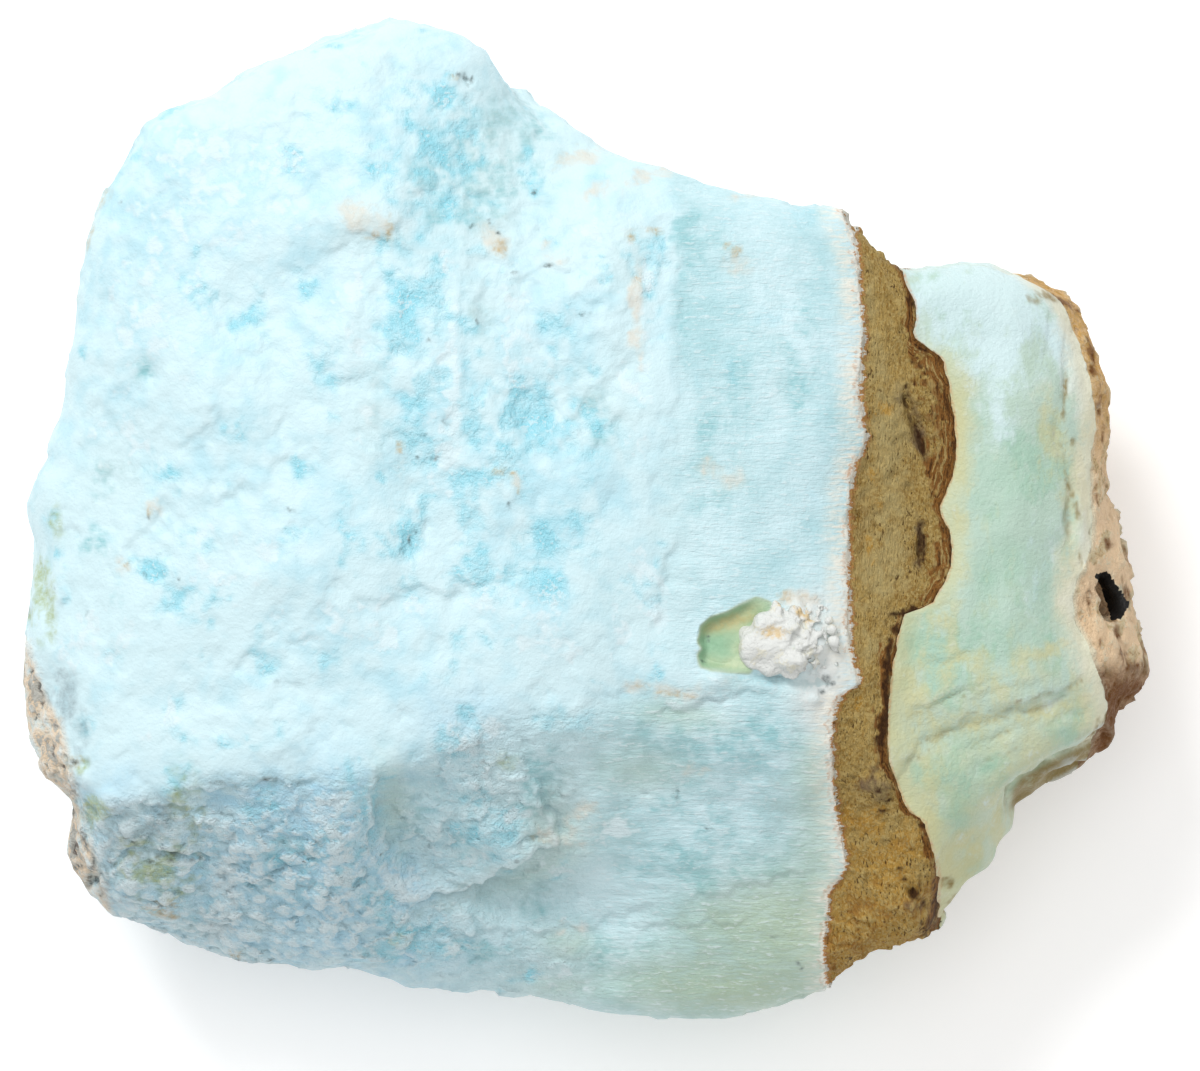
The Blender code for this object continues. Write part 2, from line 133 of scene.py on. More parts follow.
# Marks on the upper face are (u, v, half length, half width, turn in degrees, strength)
CYAN = [
    (440, 100, 26, 20, 0, 0.5), (448, 158, 30, 40, 0, 0.6), (452, 202, 14, 18, 0, 0.6),
    (295, 160, 14, 16, 0, 0.45), (305, 287, 13, 12, 0, 0.85), (415, 297, 28, 19, -10, 0.8),
    (404, 344, 13, 13, 0, 1.0), (396, 322, 11, 22, 0, 0.5), (322, 370, 26, 22, 0, 0.4),
    (421, 395, 9, 15, 20, 1.0), (436, 446, 17, 11, 0, 0.7), (433, 460, 7, 5, 0, 1.0),
    (524, 409, 32, 20, -6, 1.0), (552, 428, 20, 11, 0, 0.8), (500, 450, 17, 18, 0, 0.9),
    (562, 325, 18, 14, 0, 0.6), (596, 425, 11, 13, 30, 0.5), (394, 249, 15, 6, 15, 0.6),
    (241, 432, 14, 11, 0, 0.6), (302, 470, 12, 11, 0, 0.85), (166, 474, 17, 10, 0, 0.5),
    (150, 571, 16, 14, 0, 0.9), (176, 606, 20, 20, 0, 0.35), (330, 658, 14, 14, 0, 0.4),
    (411, 540, 13, 22, 0, 0.8), (525, 585, 38, 15, 0, 0.8), (545, 545, 20, 15, 0, 0.6),
    (582, 530, 12, 22, 0, 0.6), (265, 660, 18, 14, 0, 0.5), (470, 480, 22, 16, 0, 0.35),
    (385, 545, 18, 14, 0, 0.4), (350, 520, 14, 30, 0, 0.3), (465, 720, 20, 16, 0, 0.6),
    (470, 832, 18, 26, 0, 0.7), (200, 540, 26, 18, 0, 0.3), (480, 640, 30, 16, 0, 0.3),
    (460, 745, 22, 16, 0, 0.6), (262, 800, 18, 18, 0, 0.6), (415, 945, 44, 20, 0, 0.75),
    (384, 900, 24, 12, -20, 0.5), (504, 838, 20, 22, 30, 0.8), (480, 805, 12, 18, 20, 0.6),
    (560, 450, 90, 120, 0, 0.18), (420, 380, 60, 130, 0, 0.2), (420, 160, 90, 80, 0, 0.2),
    (300, 860, 90, 40, 0, 0.35), (360, 800, 30, 50, 0, 0.3), (812, 215, 24, 12, 10, 0.6),
    (570, 720, 40, 20, 0, 0.25), (240, 330, 60, 60, 0, 0.12),
]
TEAL = [
    (688, 222, 13, 9, 0, 1.0), (683, 242, 9, 10, 0, 1.0), (690, 262, 12, 8, 0, 0.6),
    (684, 300, 8, 60, 0, 0.4), (715, 250, 30, 26, 0, 0.4), (735, 380, 24, 40, 0, 0.35),
    (800, 330, 24, 50, 0, 0.3), (715, 440, 26, 50, 0, 0.3), (800, 380, 16, 40, 0, 0.4),
    (725, 500, 40, 30, 0, 0.25), (146, 372, 9, 11, 0, 1.0), (108, 480, 14, 22, 0, 0.4),
    (96, 545, 18, 18, 0, 0.4), (118, 600, 10, 24, 0, 0.3), (460, 190, 50, 50, 0, 0.35),
    (520, 150, 60, 60, 0, 0.3), (420, 820, 22, 40, -20, 0.4), (540, 905, 40, 26, -15, 0.3),
    (700, 800, 60, 30, -4, 0.45), (760, 740, 60, 24, -8, 0.6), (700, 870, 90, 24, -6, 0.4),
    (620, 950, 40, 30, 0, 0.3), (730, 850, 60, 20, 0, 0.3), (665, 745, 50, 20, -8, 0.4),
    (540, 790, 18, 36, -20, 0.9), (480, 950, 34, 14, 0, 0.8), (596, 425, 14, 20, 25, 0.7),
    (470, 850, 16, 16, 0, 0.4), (610, 600, 30, 60, 0, 0.1),
]
# Grey marks that are painted shade on the upper face's slopes and hollows, beside its ridges, flake edges and
# scoops
SHADE = [
    (462, 170, 60, 52, 20, 0.3), (500, 120, 40, 40, 30, 0.25), (480, 320, 12, 34, 6, 0.45),
    (620, 270, 30, 30, 0, 0.2), (430, 268, 26, 12, 0, 0.4), (372, 418, 18, 60, 0, 0.3),
    (596, 400, 16, 40, 25, 0.4), (395, 812, 28, 34, 20, 0.45), (430, 870, 40, 14, -25, 0.25),
    (170, 830, 60, 30, 0, 0.5), (250, 900, 60, 44, 0, 0.25), (556, 806, 18, 40, -20, 0.9),
    (545, 855, 34, 12, 25, 0.9), (470, 895, 60, 12, 22, 0.7), (540, 890, 50, 14, 20, 0.4),
    (388, 800, 14, 34, -10, 0.4), (120, 470, 26, 40, 20, 0.3), (600, 740, 40, 16, -12, 0.4),
    (280, 780, 90, 10, 0, 0.4), (650, 760, 40, 26, 0, 0.25), (780, 800, 60, 40, 0, 0.2),
    (200, 920, 60, 24, 10, 0.5), (150, 870, 44, 24, -10, 0.5),
]
CHALK = [
    (355, 300, 14, 60, 0, 0.8), (365, 400, 12, 60, 0, 0.6), (452, 330, 9, 70, 3, 0.9),
    (450, 450, 16, 60, 0, 0.8), (520, 330, 20, 60, 10, 0.5), (480, 600, 60, 16, 0, 0.4),
    (640, 340, 18, 120, 0, 0.5), (650, 600, 30, 50, 0, 0.5), (240, 170, 90, 60, -30, 0.5),
    (160, 300, 50, 90, 0, 0.5), (120, 440, 40, 30, 0, 0.4), (230, 560, 60, 40, 0, 0.4),
    (360, 620, 70, 30, 0, 0.5), (100, 640, 36, 40, 0, 0.6), (180, 720, 60, 20, 0, 0.5),
    (560, 640, 60, 30, 0, 0.4), (775, 280, 14, 50, 0, 0.5), (778, 400, 12, 60, 0, 0.6),
    (740, 440, 12, 40, 0, 0.4), (600, 230, 30, 24, 0, 0.5), (820, 660, 30, 40, 0, 0.9),
    (815, 720, 26, 24, 10, 0.6), (790, 640, 56, 44, 0, 0.8), (330, 830, 28, 44, 0, 0.6),
    (340, 880, 24, 30, 0, 0.5), (570, 985, 24, 20, 0, 0.5), (612, 850, 12, 40, 0, 0.3),
    (580, 915, 26, 24, 0, 0.4), (640, 830, 50, 8, 8, 0.4), (470, 855, 20, 12, 0, 0.5),
    (690, 775, 60, 10, 8, 0.5), (700, 700, 36, 10, 6, 0.5), (222, 890, 18, 64, 0, 1.0),
    (345, 850, 14, 60, 0, 0.6), (400, 885, 28, 18, -10, 0.8), (720, 800, 50, 18, 6, 0.5),
    (480, 740, 30, 26, 0, 0.6), (520, 815, 14, 8, 20, 0.8), (450, 950, 40, 12, 0, 0.3),
    (220, 945, 22, 20, 0, 0.6), (560, 870, 20, 8, -25, 0.5),
]
STAIN = [
    (370, 224, 30, 13, -14, 1.0), (356, 214, 18, 14, 0, 0.8), (492, 245, 16, 12, 0, 1.0),
    (546, 244, 8, 6, 0, 0.6), (552, 262, 26, 8, 0, 0.3), (636, 300, 6, 40, -3, 1.0),
    (638, 340, 5, 26, 4, 0.8), (632, 233, 10, 10, 0, 0.4), (735, 262, 22, 12, -20, 0.5),
    (580, 158, 30, 10, 20, 0.5), (640, 178, 60, 8, 18, 0.6), (740, 198, 30, 6, 14, 0.4),
    (724, 475, 22, 16, 0, 0.5), (664, 690, 30, 7, -12, 0.7), (720, 684, 20, 8, 0, 0.5),
    (126, 566, 7, 8, 0, 0.9), (155, 510, 9, 8, -40, 0.9), (505, 480, 14, 12, 0, 0.35),
    (518, 482, 7, 8, 0, 0.6), (405, 460, 20, 60, 0, 0.12), (585, 815, 20, 16, -20, 0.5),
    (560, 836, 30, 8, -25, 0.5), (600, 150, 30, 8, 20, 0.4), (790, 604, 26, 12, 0, 0.6),
    (770, 628, 12, 14, 0, 0.5), (500, 225, 30, 20, 0, 0.15), (70, 250, 12, 80, -10, 0.6),
    (58, 370, 8, 40, 0, 0.35), (570, 930, 24, 8, -10, 0.3), (860, 590, 20, 40, 0, 0.3),
    (700, 770, 22, 6, -8, 0.3),
]
RUST = [
    (391, 230, 4, 11, 5, 0.9), (372, 237, 16, 3, 10, 0.5), (500, 250, 6, 9, 10, 1.0),
    (631, 238, 5, 5, 20, 0.9), (656, 233, 7, 4, -15, 0.8), (737, 252, 8, 5, 30, 1.0),
    (727, 246, 4, 2, 40, 0.9), (400, 449, 4, 7, 0, 1.0), (497, 471, 7, 5, 0, 1.0), (511, 475, 4, 2, 0, 1.0),
    (518, 492, 2, 5, 0, 0.7), (127, 566, 3, 4, 0, 0.7), (664, 692, 26, 2, -12, 0.7), (676, 693, 4, 2, 0, 1.0),
    (152, 512, 4, 5, -40, 0.7), (640, 284, 3, 6, 0, 0.6), (808, 601, 12, 5, 10, 1.0),
    (786, 598, 8, 6, 0, 0.9), (812, 618, 6, 3, 0, 0.7), (776, 632, 6, 8, 0, 0.8), (765, 622, 7, 3, 30, 0.5),
    (533, 838, 16, 2, -22, 0.5), (456, 79, 4, 3, 0, 0.8), (160, 914, 16, 5, -14, 1.0),
    (168, 905, 12, 3, -10, 0.8), (235, 958, 6, 5, 0, 0.9), (72, 762, 10, 6, 0, 0.9), (80, 806, 8, 8, 0, 0.3),
    (100, 196, 12, 20, -24, 0.5), (84, 236, 8, 26, -14, 0.7), (74, 285, 5, 26, -6, 0.8),
    (68, 322, 4, 18, 0, 0.5),
]
OLIVE = [
    (44, 600, 12, 34, 6, 1.0), (60, 520, 10, 20, 10, 0.3), (84, 765, 8, 6, 0, 0.8),
    (96, 812, 14, 14, 30, 0.9), (158, 870, 32, 22, -10, 0.9), (150, 845, 24, 6, 0, 0.4),
    (400, 940, 20, 10, 0, 0.2), (505, 760, 20, 20, 0, 0.2), (190, 800, 16, 40, 10, 0.4),
]
# Smooth grey-green of the lower right, and the bluest parts of the lower left
SAGE = [
    (795, 935, 70, 66, 10, 1.0), (740, 990, 100, 34, 0, 1.0), (660, 985, 60, 30, 0, 0.5),
    (820, 850, 24, 50, 0, 0.5), (815, 780, 24, 50, 0, 0.6), (570, 945, 30, 14, 0, 0.5),
    (740, 920, 70, 34, 8, 0.7), (680, 715, 44, 16, -8, 0.5), (640, 770, 46, 22, 0, 0.4),
    (555, 830, 30, 30, -20, 0.4), (535, 870, 40, 14, 25, 0.4), (392, 800, 16, 40, 10, 0.5),
    (560, 990, 40, 16, 0, 0.4),
]
AZURE = [
    (262, 802, 34, 28, 0, 1.0), (330, 830, 36, 70, 0, 1.0), (220, 880, 50, 50, 0, 0.7),
    (300, 900, 60, 50, 0, 0.5), (400, 880, 36, 26, -20, 0.9), (110, 785, 40, 16, 20, 0.6),
    (460, 715, 50, 30, 0, 0.6), (430, 950, 60, 20, 0, 0.6),
]
# Grainy parts of the broad face
GRAINY = [
    (430, 330, 60, 60, 0, 0.7), (560, 400, 60, 80, 0, 0.9), (520, 570, 70, 40, 0, 0.7),
    (410, 540, 40, 40, 0, 0.7), (590, 315, 40, 40, 0, 0.6), (500, 230, 60, 30, 0, 0.5),
    (380, 230, 50, 30, 0, 0.6), (240, 440, 70, 50, 0, 0.5), (300, 480, 40, 40, 0, 0.5),
    (140, 520, 50, 50, 0, 0.6), (260, 670, 50, 40, 0, 0.5), (330, 380, 50, 40, 0, 0.4),
    (300, 290, 40, 30, 0, 0.4), (520, 480, 70, 30, 0, 0.5), (460, 180, 60, 60, 0, 0.4),
    (820, 660, 34, 60, 0, 1.0),
]
# Small dark cracks and specks (u, v, half length, half width, turn, strength)
SPECKS = [
    (465, 79, 3, 3, 0, 1.0), (469, 84, 5, 2, 60, 1.0), (459, 75, 3, 1.5, 0, 0.9),
    (668, 422, 1.8, 1.5, 0, 1.0), (499, 235, 1.6, 1.6, 0, 1.0), (120, 202, 2, 2, 0, 1.0),
    (581, 316, 5, 1.5, 25, 0.7), (590, 314, 3, 2, -30, 0.5), (477, 306, 1.6, 5, 0, 0.6),
    (478, 323, 2, 2, 0, 0.7), (516, 275, 3, 1.5, 10, 0.8), (549, 267, 5, 1.4, 0, 0.6),
    (536, 195, 2, 2, 0, 0.7), (526, 204, 3, 2, 20, 0.5), (490, 222, 1.4, 4, 0, 0.6),
    (471, 228, 3, 1.6, 30, 0.6), (428, 340, 4, 1.3, -10, 0.6), (446, 418, 1.4, 5, 0, 0.6),
    (450, 425, 3, 1.4, 0, 0.6), (424, 435, 4, 1.6, -20, 0.6), (434, 460, 2.5, 2, 0, 0.8),
    (419, 458, 1.2, 1.2, 0, 1.0), (541, 353, 3, 1.4, 20, 0.7), (534, 349, 2, 1.2, 20, 0.6),
    (410, 541, 2.5, 5, 10, 0.8), (418, 532, 2, 3, 0, 0.6), (404, 550, 2, 2, 0, 0.5), (510, 505, 2, 3, 0, 0.5),
    (180, 580, 1.4, 1.4, 0, 0.8), (272, 464, 4, 1.6, -40, 0.6), (276, 422, 4, 1.6, -40, 0.6),
    (213, 482, 4, 1.6, -30, 0.5), (293, 510, 4, 1.4, -10, 0.5), (148, 516, 3, 2, -40, 0.8),
    (60, 531, 4, 1.2, 10, 0.6), (56, 588, 2, 3, 0, 0.6), (88, 612, 1.6, 4, 0, 0.5),
    (98, 628, 1.6, 1.6, 0, 0.7), (146, 577, 2, 3, 0, 0.4), (237, 665, 2, 2, 0, 0.6),
    (278, 681, 1.5, 1.5, 0, 0.9), (825, 678, 5, 4, 0, 0.9), (832, 683, 4, 3, 20, 0.8),
    (822, 691, 4, 3, 0, 0.8), (836, 676, 3, 3, 0, 0.6), (775, 677, 12, 2.5, 10, 0.5),
    (812, 672, 10, 2.2, -20, 0.5), (702, 662, 1.8, 1.8, 0, 0.8), (709, 640, 1.5, 2, 0, 0.6),
    (790, 676, 12, 3, 14, 0.6), (645, 794, 5, 1.3, 10, 0.7), (676, 796, 1.2, 7, 8, 0.8),
    (680, 790, 5, 1, 0, 0.9), (628, 800, 1.4, 4, 0, 0.7), (631, 796, 5, 1.4, 0, 0.6),
    (518, 862, 1.6, 1.6, 0, 1.0), (708, 828, 3, 1.2, -10, 0.8), (775, 937, 4, 1.2, 10, 0.7),
    (800, 968, 2, 6, 30, 0.6), (165, 855, 24, 1.6, 3, 0.8), (190, 860, 26, 1.4, 6, 0.6),
    (150, 862, 7, 3, 0, 0.9), (110, 862, 6, 2, -40, 0.6), (130, 842, 10, 1.6, -30, 0.5),
    (215, 782, 14, 2, -8, 0.5), (270, 780, 10, 2, 0, 0.5), (380, 855, 1.5, 1.5, 0, 0.8),
    (235, 963, 3, 2, 0, 1.0), (270, 962, 5, 2, 20, 0.9), (74, 762, 4, 3, 0, 0.8), (68, 795, 4, 1.5, 30, 0.7),
    (88, 880, 4, 6, 30, 1.0), (78, 868, 3, 3, 0, 0.8), (84, 838, 3, 11, 10, 1.0), (70, 815, 8, 2.5, 30, 0.9),
    (92, 866, 3, 9, -20, 0.9), (60, 772, 8, 2, 20, 0.7), (84, 890, 5, 3, 20, 0.9), (76, 824, 2, 2, 0, 0.7),
    (100, 896, 3, 5, 0, 0.5), (44, 690, 3, 3, 0, 0.5), (46, 720, 2, 4, 0, 0.5), (60, 740, 3, 2, 0, 0.5),
    (30, 700, 3, 3, 0, 0.6),
]
# Grey glassy calcite among the left crust, and the crust's own tan patches there
GLASSY = [
    (66, 700, 16, 26, 0, 0.9), (74, 782, 12, 10, 0, 1.0), (82, 735, 8, 18, 0, 0.6),
    (100, 888, 12, 14, 0, 0.9), (112, 905, 20, 8, 10, 0.7), (120, 830, 30, 26, -20, 0.5),
    (180, 820, 30, 24, 0, 0.4),
]
# Where the fibres and the satin ground start and the azure ends (u), the golden part of the band starts (v),
# and the left crust lies (v)
FIBRES_FROM = 674.0
SATIN_FROM = 585.0
AZURE_TO = 430.0
GOLDEN_FROM = 810.0
LEFT_CRUST_SPAN = (640, 930)
# The sugary ground (u, v, half length, half width)
SUGARY = (215.0, 890.0, 200.0, 95.0)
# Heights over this belong to the upper face
FACE_LOW = 200
# Rough granular parts below the crest
RUGGED = [
    (480, 775, 44, 60, 20, 0.8), (420, 930, 60, 40, 0, 0.5), (430, 850, 40, 30, 0, 0.4),
    (520, 960, 40, 26, 0, 0.4),
]
# Green layer: teal patches, cream patches, whiter parts, and brown spots and cracks with painted shadow lines
# under its folds, beside its cream ridge and under its ledge (as above)
GREEN_TEAL = [
    (913, 647, 9, 14, 10, 1.0), (985, 768, 14, 10, 0, 0.9), (925, 590, 16, 20, 0, 0.35),
    (985, 580, 18, 20, 0, 0.6), (1000, 640, 26, 30, 0, 0.5), (1010, 560, 24, 24, 0, 0.5),
    (935, 310, 5, 22, -8, 0.6), (1000, 500, 40, 40, 0, 0.3), (1000, 470, 30, 30, 0, 0.3),
    (955, 640, 22, 24, 0, 0.3), (962, 800, 14, 40, -30, 0.5), (957, 820, 12, 16, 0, 0.6),
    (1045, 310, 10, 12, 0, 0.7), (1076, 520, 5, 26, 0, 0.6), (1030, 790, 22, 14, 0, 0.3),
    (975, 400, 30, 30, 0, 0.25), (965, 740, 30, 14, 0, 0.4), (1040, 600, 20, 50, 0, 0.3),
]
GREEN_CREAM = [
    (968, 385, 14, 20, 0, 0.7), (958, 420, 10, 50, 0, 0.8), (962, 500, 10, 50, 0, 0.6),
    (945, 620, 22, 24, 0, 0.5), (920, 680, 30, 20, 30, 0.7), (960, 660, 34, 14, 10, 0.5),
    (985, 720, 40, 12, 10, 0.7), (920, 720, 24, 30, 40, 0.7), (1070, 330, 12, 24, 20, 1.0),
    (1084, 380, 12, 34, 0, 1.0), (1090, 430, 12, 22, 0, 1.0), (1083, 500, 9, 40, 0, 1.0),
    (1068, 560, 12, 30, 0, 0.8), (1050, 430, 20, 50, 0, 0.5), (1040, 300, 22, 8, -20, 0.6),
    (1050, 650, 40, 8, 18, 0.6), (1040, 712, 50, 10, 14, 0.6), (990, 680, 40, 20, 0, 0.4),
    (925, 830, 16, 30, -24, 0.8), (960, 870, 24, 34, -30, 0.9), (1000, 820, 12, 24, 0, 0.6),
    (930, 780, 20, 40, -20, 0.5), (1080, 680, 14, 24, 0, 0.6), (1090, 720, 16, 20, 0, 0.4),
    (1066, 480, 12, 60, 0, 0.4),
]
GREEN_PALE = [
    (980, 295, 46, 26, 0, 1.0), (1000, 350, 34, 50, 0, 0.7), (1060, 345, 16, 30, 30, 0.7),
    (1080, 400, 12, 50, 0, 0.7), (1085, 540, 10, 40, 0, 0.9), (1060, 540, 14, 44, 0, 0.5),
    (1075, 600, 10, 24, 0, 0.7), (1085, 660, 14, 30, 0, 0.5), (1000, 430, 24, 30, 0, 0.5),
    (1050, 700, 30, 8, 16, 0.5), (950, 330, 10, 24, 0, 0.4), (1035, 570, 14, 60, 0, 0.5),
    (990, 812, 10, 30, 10, 0.3),
]
GREEN_BROWN = [
    (950, 884, 5, 6, -20, 1.0), (1000, 755, 24, 2, 20, 0.3), (928, 752, 14, 1.6, 40, 0.35),
    (1090, 748, 20, 12, 20, 0.6), (1104, 735, 8, 20, -10, 0.8), (975, 712, 26, 2, 8, 0.3),
    (955, 700, 18, 1.6, 20, 0.25), (1035, 300, 8, 5, 0, 0.7), (1050, 296, 12, 5, -20, 0.8),
    (1064, 400, 3, 30, -6, 0.6), (1076, 508, 2.5, 12, 10, 0.9), (952, 905, 14, 8, 40, 0.4),
    (1024, 700, 26, 1.8, 16, 0.4), (1066, 470, 4, 24, 10, 0.5), (1060, 690, 30, 2, 18, 0.4),
    (1052, 360, 3, 16, 0, 0.3), (1080, 560, 3, 14, 0, 0.4), (1072, 440, 4, 8, 0, 0.5),
]
# Brown cracks and hollows of the tan crust, and its golden upper part
CRUST_BROWN = [
    (1130, 690, 26, 9, 8, 1.0), (1114, 712, 8, 20, 0, 1.0), (1106, 740, 7, 24, -10, 0.8),
    (1133, 556, 6, 16, 10, 0.6), (1141, 600, 4, 20, 0, 0.7), (1118, 634, 4, 20, 10, 0.5),
    (1136, 668, 10, 5, 0, 0.6), (1092, 352, 4, 12, 10, 0.8), (1100, 400, 3, 20, 0, 0.7),
    (1066, 303, 26, 4, -24, 0.7), (1148, 640, 4, 24, 0, 0.7), (1100, 640, 3, 14, 0, 0.4),
    (1090, 600, 3, 16, 0, 0.6), (1126, 590, 4, 16, 20, 0.5), (1110, 545, 5, 5, 0, 0.6),
    (1098, 500, 2, 20, 0, 0.5), (1104, 440, 2, 16, 0, 0.5), (1124, 655, 5, 8, 30, 0.6),
    (1094, 372, 5, 5, 0, 0.6), (1104, 668, 3, 10, 0, 0.5),
]
# Reddish rim, dark crevices and ochre of the brown band (as above)
BAND_LIP = [
    (912, 322, 9, 24, 14, 0.9), (934, 368, 14, 22, 30, 1.0), (940, 410, 14, 44, 4, 1.0),
    (942, 462, 12, 26, -6, 0.9), (934, 495, 9, 18, -24, 0.7), (943, 530, 9, 14, 0, 0.9),
    (942, 566, 10, 26, -6, 0.9), (932, 596, 10, 12, -30, 0.7), (893, 640, 5, 26, -8, 0.9),
    (885, 690, 5, 40, -4, 1.0), (881, 735, 6, 30, 0, 0.8), (890, 772, 6, 20, 20, 0.8),
    (905, 806, 8, 16, 30, 0.7), (928, 838, 6, 20, 10, 0.8),
]
BAND_DARK = [
    (918, 430, 1.4, 22, 17, 0.9), (911, 402, 1.4, 9, 24, 1.0), (924, 548, 1.3, 19, -3, 1.0),
    (924, 452, 2, 9, 14, 0.8), (920, 524, 4, 4, 0, 0.6), (905, 386, 2.0, 9, 14, 0.5),
    (917, 365, 9, 3, -30, 0.35), (880, 790, 6, 4, 20, 0.6), (873, 775, 4, 6, 0, 0.4),
    (914, 893, 5, 6, 0, 1.0), (905, 880, 5, 3, 20, 0.7), (926, 905, 9, 6, 0, 0.5), (921, 880, 4, 7, 0, 0.5),
    (888, 660, 3, 30, -5, 1.0), (885, 700, 3, 30, -2, 0.9), (880, 735, 4, 16, 0, 0.7),
    (890, 800, 8, 3, 20, 0.6), (918, 300, 3, 8, 14, 0.6), (910, 300, 2, 9, 10, 0.8),
    (922, 350, 7, 2, -30, 0.6), (935, 357, 8, 2, -15, 0.8), (953, 398, 2, 14, 4, 0.7),
    (955, 440, 2, 20, 0, 0.7), (950, 556, 2, 20, -4, 0.7), (934, 600, 2, 12, -30, 0.6),
    (906, 612, 14, 2.5, 8, 0.7), (925, 826, 12, 3, -40, 0.7), (884, 812, 12, 3, 24, 0.4),
    (900, 870, 14, 4, 30, 0.3), (903, 612, 10, 3, 10, 0.7), (896, 630, 3, 10, 0, 0.8),
    (925, 930, 8, 10, 0, 0.6), (936, 900, 3, 20, 0, 0.6),
]
BAND_OCHRE = [
    (880, 408, 16, 6, 10, 0.9), (873, 440, 4, 24, 6, 0.8), (875, 480, 8, 16, 10, 0.8),
    (878, 505, 10, 8, 0, 0.5), (872, 545, 8, 10, 0, 0.4), (855, 960, 40, 44, 0, 0.9),
    (880, 880, 34, 40, 0, 0.7), (870, 830, 24, 30, 0, 0.5), (905, 850, 20, 30, -20, 0.8),
    (860, 700, 6, 26, 0, 0.4), (935, 440, 4, 40, 0, 0.4), (940, 520, 5, 30, 0, 0.4),
    (928, 930, 20, 14, 0, 0.8), (900, 940, 40, 20, 0, 0.7), (845, 720, 8, 20, 0, 0.4),
    (900, 690, 6, 60, 0, 0.4),
]
# Pale olive ground of the band's upper half, and bluish bits in it
BAND_OLIVE = [
    (886, 440, 22, 60, 0, 1.0), (890, 540, 24, 50, 0, 0.8), (872, 350, 10, 40, 0, 0.7),
    (880, 590, 20, 30, 0, 0.6), (868, 290, 8, 30, 0, 0.4), (870, 640, 16, 24, 0, 0.4),
    (876, 480, 14, 10, 0, 0.6),
]
BAND_MAUVE = [
    (878, 786, 15, 14, 0, 1.0), (920, 434, 5, 24, 17, 1.0), (919, 545, 6, 22, -3, 0.9),
    (914, 405, 4, 10, 24, 0.6), (905, 400, 8, 16, 10, 0.3), (884, 745, 8, 12, 0, 0.4),
    (916, 908, 12, 8, 0, 0.4),
]

# Relief of the upper face, in millimetres (u, v, half length, half width, turn, height)
RELIEF = [
    (372, 224, 30, 16, -12, 0.4), (492, 246, 20, 13, 0, 0.3), (146, 372, 11, 12, 0, -0.6),
    (262, 668, 20, 18, 0, -0.5), (262, 668, 30, 28, 0, 0.25), (730, 252, 12, 8, 0, 0.15),
    (920, 432, 4, 26, 17, -0.75), (923, 547, 3.5, 20, -3, -0.75), (911, 402, 3, 11, 24, -0.6),
    (934, 420, 6, 40, 6, 0.3), (936, 545, 6, 26, -3, 0.35), (878, 786, 14, 14, 0, 0.7),
    (914, 893, 7, 8, 0, -0.9), (926, 905, 9, 6, 0, -0.4), (940, 400, 9, 50, 6, 0.35),
    (943, 560, 8, 34, -4, 0.4), (910, 318, 7, 22, 20, 0.3), (888, 680, 3, 50, -4, 0.35),
    (913, 647, 9, 14, -10, -0.15), (985, 768, 14, 10, 0, -0.2), (1074, 520, 5, 24, 0, -0.35),
    (1084, 520, 6, 30, 0, 0.3), (1066, 400, 6, 40, -10, -0.25), (950, 884, 6, 7, -20, -0.5),
    (1110, 650, 20, 30, 0, 0.4), (1090, 610, 14, 26, 0, -0.3), (1124, 636, 7, 7, 0, -0.4),
    (88, 878, 7, 12, -30, -0.8), (80, 865, 6, 6, 0, -0.4), (76, 764, 6, 5, 0, -0.5),
    (74, 782, 12, 10, 0, 0.5), (66, 700, 14, 24, 0, -0.3), (170, 856, 34, 3, -3, -0.7),
    (158, 876, 30, 16, 10, 0.4), (110, 862, 14, 3, 40, -0.5), (466, 80, 6, 5, 0, -0.4),
    (820, 684, 16, 8, 0, -0.4), (775, 680, 30, 5, -10, -0.7), (645, 794, 6, 2, -10, -0.3),
    (678, 794, 2.5, 8, 8, -0.3), (455, 335, 6, 60, 3, 0.15), (345, 300, 12, 60, 0, 0.15),
    (72, 742, 10, 16, 0, -0.5), (118, 836, 16, 12, 30, 0.5), (104, 800, 14, 10, -30, 0.5),
    (215, 806, 34, 8, 4, -0.4), (402, 805, 24, 44, -20, -0.9), (330, 830, 26, 70, 0, 0.5),
    (505, 865, 70, 12, 25, 0.5), (560, 890, 60, 18, 22, -0.5), (370, 815, 6, 40, 0, 0.4),
    (524, 830, 20, 10, 24, 0.4), (600, 800, 14, 30, -30, 0.4), (716, 680, 16, 9, 0, 0.5),
    (800, 610, 24, 10, 0, 0.2), (640, 320, 8, 60, 0, 0.15), (150, 500, 20, 10, 40, 0.3),
]
